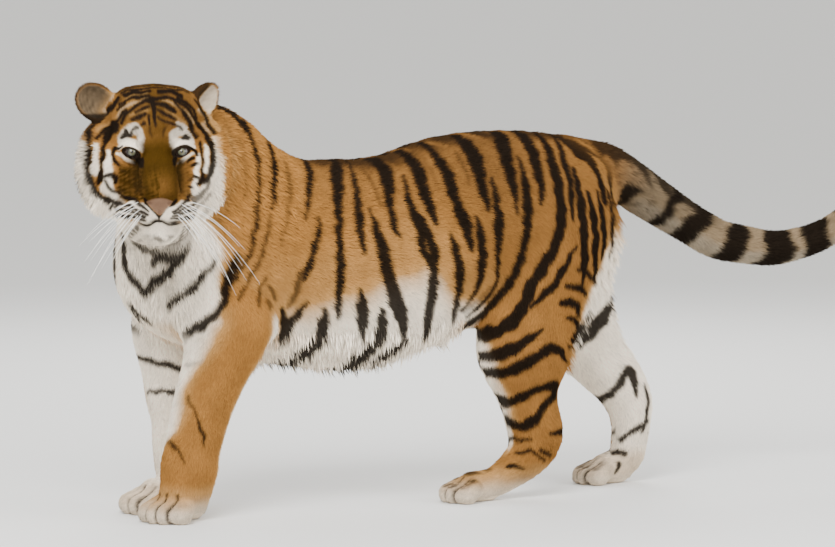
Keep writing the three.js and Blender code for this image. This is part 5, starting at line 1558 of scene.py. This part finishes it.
def grow(name, chosen, parts, layers, seed, material, hang=0.0, towards=(0.0, 0.0, -1.0)):
    """Covers the chosen triangles of the skin with tufts, layers deep, as one piece. hang makes them droop
    wherever the skin faces towards, that many times as long as the coat there."""
    rng = np.random.default_rng(seed)
    corners = skin_triangles[chosen]
    a, b, c = (skin_points[corners[:, i]] for i in range(3))
    area = np.linalg.norm(np.cross(b - a, c - a), axis=1) / 2
    length = skin_lengths[corners].mean(1)
    dense = area * layers / (0.5 * length * tuft_width(length))
    weight = np.cumsum(dense)
    count, spread = int(weight[-1]), 1.0
    cost = np.where(length > LONG_FROM, len(LONG_TUFT[1]), len(SHORT_TUFT[1]))
    limit = int(PIECE_LIMIT * weight[-1] / (dense * cost).sum())
    if count > limit:  # fewer tufts, each as much wider
        count, spread = limit, math.sqrt(count / limit)
    pick = np.searchsorted(weight, (np.arange(count) + rng.random(count)) / count * weight[-1])
    pick = np.minimum(pick, len(chosen) - 1)
    s, t = np.sqrt(rng.random(count)), rng.random(count)
    shares_of = np.stack([1 - s, s * (1 - t), s * t], 1)
    ids = corners[pick]

    def at_root(table):
        return np.einsum("ij,ij...->i...", shares_of, table[ids])

    root, normal = at_root(skin_points), unit(at_root(skin_normals))
    keep = ~bare(root, normal, at_root(skin_marks["leather"]))
    ids, shares_of, root, normal = ids[keep], shares_of[keep], root[keep], normal[keep]
    count = len(root)
    depth, distances = at_root(skin_depths), at_root(distance_table)
    lie = at_root(skin_lies)
    turn = rng.normal(0, 0.20, count)
    side = np.cross(normal, lie)
    lie = unit(lie * np.cos(turn)[:, None] + side * np.sin(turn)[:, None])
    lie = unit(lie - normal * (lie * normal).sum(1, keepdims=True))
    side = np.cross(normal, lie)
    size = at_root(skin_lengths) * rng.uniform(0.72, 1.18, count)
    wide = spread * tuft_width(size) * rng.uniform(0.8, 1.25, count)
    rise = np.minimum(depth * rng.uniform(0.62, 1.08, count), 0.6 * size)
    if hang:
        size = size * hang * (0.78 + 0.45 * wobble(root, 32, seed))
        size = size * ramp(normal @ np.array(towards), 0.1, 0.75)
        lie = unit(lie + rng.normal(0, 0.10, (count, 3)) + 1.6 * unit(np.add(towards, (0.0, 0.0, -0.7))))
        side = unit(np.cross(normal, lie) + (0.4, 0.0, 0.0))
        if towards[2] < 0:
            normal = unit(normal * (1.0, 1.6, 0.1) + (0.0, 1e-3, 0.25))
        rise = 0.12 * size
    flat = np.sqrt(np.maximum(size**2 - rise**2, 1.0))

    part_table = dict(zip(NAMES, distances.T))
    marks, tip_marks = (
        markings(root + lie * (far * flat)[:, None] + normal * (0.7 * rise)[:, None], normal, part_table)
        for far in ((0.1, 0.35) if hang else (0.5, 0.92))
    )
    tint = np.clip(rng.normal(0.5, 0.2, count) + 0.22 * wobble(root, 70, seed + 50), 0, 1)

    where = np.zeros((count, 2))
    owner = np.argmin(distances[:, [NAMES.index(part) for part in parts]], axis=1)
    for n, part in enumerate(parts):
        mine = owner == n
        if mine.any():
            where[mine] = along_part(part, root[mine]) * (1.0 / len(parts), 1.0) + (n / len(parts), 0.0)
    where = PATCHES_FROM + where * PATCHES_SPREAD

    tufts = []
    start = 0
    for is_long, (shape, faces) in ((False, SHORT_TUFT), (True, LONG_TUFT)):
        rows = np.flatnonzero((size > LONG_FROM) == is_long)
        if not len(rows):
            continue
        along, across, high, ridge = shape.T
        here, ahead, aside, up = (table[rows, None] for table in (root, lie, side, normal))
        long, broad, tall = (table[rows, None] for table in (flat, wide, rise))
        height = high * tall + ridge * broad - ROOT_DEPTH * (along == 0)
        spots = here + ahead * (along * long)[..., None] + aside * (across * broad)[..., None]
        spots += up * height[..., None]
        spots[..., 2] = np.maximum(spots[..., 2], COAT_ABOVE_FLOOR)
        facing = up + 0.605 * np.sign(across)[:, None] * aside + 0.25 * (along > 0.9)[:, None] * ahead
        first_corners = start + np.arange(len(rows))[:, None, None] * len(shape)
        places = where[rows, None] + np.stack([along * PATCH, (across + 0.5) * PATCH], 1)
        tufts.append((
            spots.reshape(-1, 3), (faces[None] + first_corners).reshape(-1, 3), unit(facing).reshape(-1, 3),
            places.reshape(-1, 2), np.repeat(rows, len(shape)), np.tile(along, len(rows)),
        ))
        start += len(rows) * len(shape)
    points, triangles, normals, places, rows, tips = (np.concatenate(table) for table in zip(*tufts))
    values = {mark: marks[mark][rows] * (1 - tips) + tip_marks[mark][rows] * tips for mark in MARKS}
    values["tint"], values["tip"] = tint[rows], tips
    add_piece(name, points, triangles, values, material, normals, places)


distance_table = np.stack([skin_distances[name] for name in NAMES], 1)
skin_depths = coat_depth(skin_points, skin_distances)
skin_lengths = tuft_length(skin_points, skin_depths)
skin_lies = lie_of_coat(skin_points, skin_normals, skin_distances)

middles = skin_points[skin_triangles].mean(1)
nearest_part = np.argmin(distance_table[skin_triangles].mean(1), axis=1)
is_left = middles[:, 1] < body_middle(middles[:, 0])
is_long = skin_depths[skin_triangles].mean(1) > 10.5
is_face = head_place(middles)[:, 0] > -55
facing = skin_normals[skin_triangles].mean(1)


def on(name):
    """The triangles of the skin that are nearest to one part."""
    return nearest_part == NAMES.index(name)


COATS = [
    ("coat_face", on("head") & is_face, ("head",), 2.8, "orange_fur"),
    ("coat_crown_and_cheeks", on("head") & ~is_face, ("head",), 4.6, "orange_fur"),
    ("coat_ears", on("left_ear") | on("right_ear"), tuple(EARS), 3.0, "ear_fur"),
    ("coat_neck", on("neck"), ("neck",), 3.2, "orange_fur"),
    ("coat_left_flank", on("trunk") & is_left & ~is_long, ("trunk",), 3.2, "orange_fur"),
    ("coat_right_flank", on("trunk") & ~is_left & ~is_long, ("trunk",), 3.2, "orange_fur"),
    ("coat_belly_and_chest", on("trunk") & is_long, ("trunk",), 3.4, "white_fur"),
    ("coat_tail", on("tail"), ("tail",), 3.4, "tail_fur"),
]
for leg in LEGS:
    COATS.append((f"coat_{leg}_leg" if "hind" in leg else f"coat_{leg}", on(leg), (leg,), 2.1, "orange_fur"))
fur = coat_material("fur")
for seed, (name, chosen, parts, layers, slot) in enumerate(COATS):
    grow(name, np.flatnonzero(chosen), parts, layers, 100 + seed, fur)

below_belly = on("trunk") & (facing[:, 2] < -0.35) & (middles[:, 2] < 470)
below_belly &= (middles[:, 0] > -330) & (middles[:, 0] < 290)
behind = (facing[:, 0] > 0.2) & (middles[:, 2] > 330)
FRINGES = [
    ("fringe_below_belly", below_belly, "trunk", 1.1, 1.6, (0.0, 0.0, -1.0)),
    ("fringe_of_left_thigh", on("left_hind") & behind, "left_hind", 0.7, 1.9, (1.0, 0.0, 0.0)),
    ("fringe_of_right_thigh", on("right_hind") & behind, "right_hind", 0.7, 1.9, (1.0, 0.0, 0.0)),
]
for seed, (name, chosen, part, layers, hang, towards) in enumerate(FRINGES):
    grow(name, np.flatnonzero(chosen), (part,), layers, 90 + seed, fur, hang, towards)


# ----------------------------------------------------------------------------------------------------------
# Eyes and whiskers
# ----------------------------------------------------------------------------------------------------------

RINGS, SPOKES = 40, 56
IRIS, CORNEA = 9.4, 1.4  # millimetres: the iris's radius, and how far the cornea bulges


def eyeball(side):
    """One eyeball: its points, its triangles, and how far each point is from the pupil, from 0 to 1."""
    centre, gaze = eye_at(side), unit(HEAD[0] - side * 0.05 * HEAD[1])
    first = unit(np.cross(gaze, HEAD[2]))
    second = np.cross(gaze, first)
    opening = np.linspace(0.0, math.pi, RINGS + 1)
    from_axis = EYE["radius"] * np.sin(opening)
    bulge = CORNEA * ramp(from_axis, IRIS + 1.5, 0) * (opening < math.pi / 2)
    places = EYE["radius"] * np.cos(opening) + bulge
    spin = np.arange(SPOKES) * 2 * math.pi / SPOKES
    around = np.cos(spin)[:, None] * first + np.sin(spin)[:, None] * second
    points = centre + places[:, None, None] * gaze + from_axis[:, None, None] * around[None]
    points = points.reshape(-1, 3)
    points[:SPOKES], points[-SPOKES:] = points[0], points[-1]
    ring, spoke = np.meshgrid(np.arange(RINGS), np.arange(SPOKES), indexing="ij")
    corner = [ring * SPOKES + spoke, ring * SPOKES + (spoke + 1) % SPOKES]
    corner += [corner[1] + SPOKES, corner[0] + SPOKES]
    quads = np.stack([c.ravel() for c in corner], 1)
    faces = np.concatenate([quads[SPOKES:, [0, 1, 2]], quads[:-SPOKES, [0, 2, 3]]])
    used, faces = np.unique(faces, return_inverse=True)
    faces, points = faces.reshape(-1, 3), points[used]
    outward = np.cross(points[faces[:, 1]] - points[faces[:, 0]], points[faces[:, 2]] - points[faces[:, 0]])
    if ((points[faces].mean(1) - centre) * outward).sum() < 0:
        faces = faces[:, ::-1]
    reach = np.linalg.norm(np.cross(points - centre, gaze), axis=1) / EYE["radius"]
    return points, faces, np.where((points - centre) @ gaze < 0, 1.0, reach)


wet_eye = eye_material()
for name, side in (("right_eye", -1), ("left_eye", 1)):
    points, faces, from_pupil = eyeball(side)
    ball = add_piece(name + "ball", points, faces, {"from_pupil": from_pupil}, wet_eye)
    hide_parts(name)

# Rows of whiskers: the height above the brow, the first one's place beside the nose, and how many
WHISKER_ROWS = [(-122, 44, 3), (-134, 38, 4), (-146, 36, 5), (-156, 40, 4)]
FOREMOST = -835.0  # millimetres: no whisker reaches further forwards
SIDES, STEPS = 5, 9
TUBE_POINTS = STEPS * SIDES + 1


def whisker(start, way, reach):
    """The points of a thin hair that bends back and down to its tip."""
    t = np.linspace(0, 1, STEPS)
    path = start + way * (t * reach)[:, None] - HEAD[0] * (0.45 * reach * t**2)[:, None]
    path[:, 2] -= 0.30 * reach * t**2
    path[:, 0] = np.maximum(path[:, 0], FOREMOST)
    radius = 0.66 * (1 - t) ** 0.7 + 0.15
    along = unit(np.gradient(path, axis=0))
    one = unit(np.cross(along, (0.1, 0.2, 1.0)))
    two = np.cross(along, one)
    angle = np.arange(SIDES)[None, :, None] * 2 * math.pi / SIDES
    around = np.cos(angle) * one[:, None] + np.sin(angle) * two[:, None]
    rings = path[:, None] + radius[:, None, None] * around
    return np.vstack([rings.reshape(-1, 3), path[-1] + along[-1]])


def tube_faces():
    """The triangles of one whisker: its wall, its tip and its root."""
    faces = []
    for i in range(STEPS - 1):
        for j in range(SIDES):
            a, b = i * SIDES + j, i * SIDES + (j + 1) % SIDES
            faces += [(a, b, b + SIDES), (a, b + SIDES, a + SIDES)]
    last = (STEPS - 1) * SIDES
    faces += [(last + j, last + (j + 1) % SIDES, STEPS * SIDES) for j in range(SIDES)]
    faces += [(0, j + 1, j) for j in range(1, SIDES - 1)]
    return np.array(faces)


rng = np.random.default_rng(7)
whiskers = []
for side in (-1, 1):
    for up, inner, number in WHISKER_ROWS:
        for n in range(number):
            beside = inner + n * 11.0 + rng.uniform(-2, 2)
            root = in_head(100, side * beside, up + rng.uniform(-3, 3))
            for _ in range(60):
                if skin_distance(root[None])[0] < -2.0:
                    break
                root = root - HEAD[0]
            reach = (rng.uniform(75, 130) + 7 * n) * (1.4 if side > 0 else 1.1)
            droop = -0.25 - 0.022 * (-118 - up) + rng.uniform(-0.22, 0.22)
            whiskers.append(whisker(root, unit(np.array([0.30, side, droop])) @ HEAD, reach))
tubes = np.concatenate([tube_faces() + n * TUBE_POINTS for n in range(len(whiskers))])
add_piece("whiskers", np.vstack(whiskers), tubes, {}, whisker_material())


# ----------------------------------------------------------------------------------------------------------
# Floor, light and camera
# ----------------------------------------------------------------------------------------------------------

HALF = 120.0  # metres
floor_mesh = bpy.data.meshes.new("floor")
floor_corners = [(-HALF, -HALF, 0), (HALF, -HALF, 0), (HALF, HALF, 0), (-HALF, HALF, 0)]
floor_mesh.from_pydata(floor_corners, [], [(0, 1, 2, 3)])
floor = bpy.data.objects.new("floor", floor_mesh)
bpy.context.scene.collection.objects.link(floor)
paint, _, paint_shader = finish_of("floor_paint", specular=0.2)
paint_shader.inputs["Base Color"].default_value = (0.80, 0.80, 0.78, 1)
paint_shader.inputs["Roughness"].default_value = 0.9
floor_mesh.materials.append(paint)

world = bpy.data.worlds.new("studio")
world.use_nodes = True
world.node_tree.nodes["Background"].inputs["Color"].default_value = (1.0, 0.99, 0.97, 1)
world.node_tree.nodes["Background"].inputs["Strength"].default_value = 1.12
bpy.context.scene.world = world


def soft_light(name, place, size, power, target=(0.0, 0.0, 0.55)):
    """A round lamp that faces the tiger."""
    light = bpy.data.lights.new(name, "AREA")
    light.shape, light.size, light.energy = "DISK", size, power
    lamp = bpy.data.objects.new(name, light)
    lamp.location = place
    lamp.rotation_euler = (Vector(target) - Vector(place)).to_track_quat("-Z", "Y").to_euler()
    bpy.context.scene.collection.objects.link(lamp)


soft_light("key", (-3.2, -3.6, 4.2), 3.0, 490)
soft_light("fill", (3.5, -4.0, 2.2), 3.5, 172)
soft_light("back", (1.5, 4.0, 3.6), 3.0, 170)

SENSOR, LENS_TO_WIDTH = 36, 4800 / 835  # millimetres, and the lens as a share of the view's width
view = bpy.data.cameras.new("camera")
view.lens, view.sensor_width = LENS_TO_WIDTH * SENSOR, SENSOR
camera = bpy.data.objects.new("camera", view)
sight_right = Vector((0.91354546, -0.40673664, 0.0))
sight_up = Vector((0.03191219, 0.07167595, 0.99691733))
turned = Matrix((sight_right, sight_up, sight_right.cross(sight_up))).transposed()
camera.matrix_world = Matrix.Translation((-5.10847, -10.87945, 1.51710)) @ turned.to_4x4()
bpy.context.scene.collection.objects.link(camera)
bpy.context.scene.camera = camera
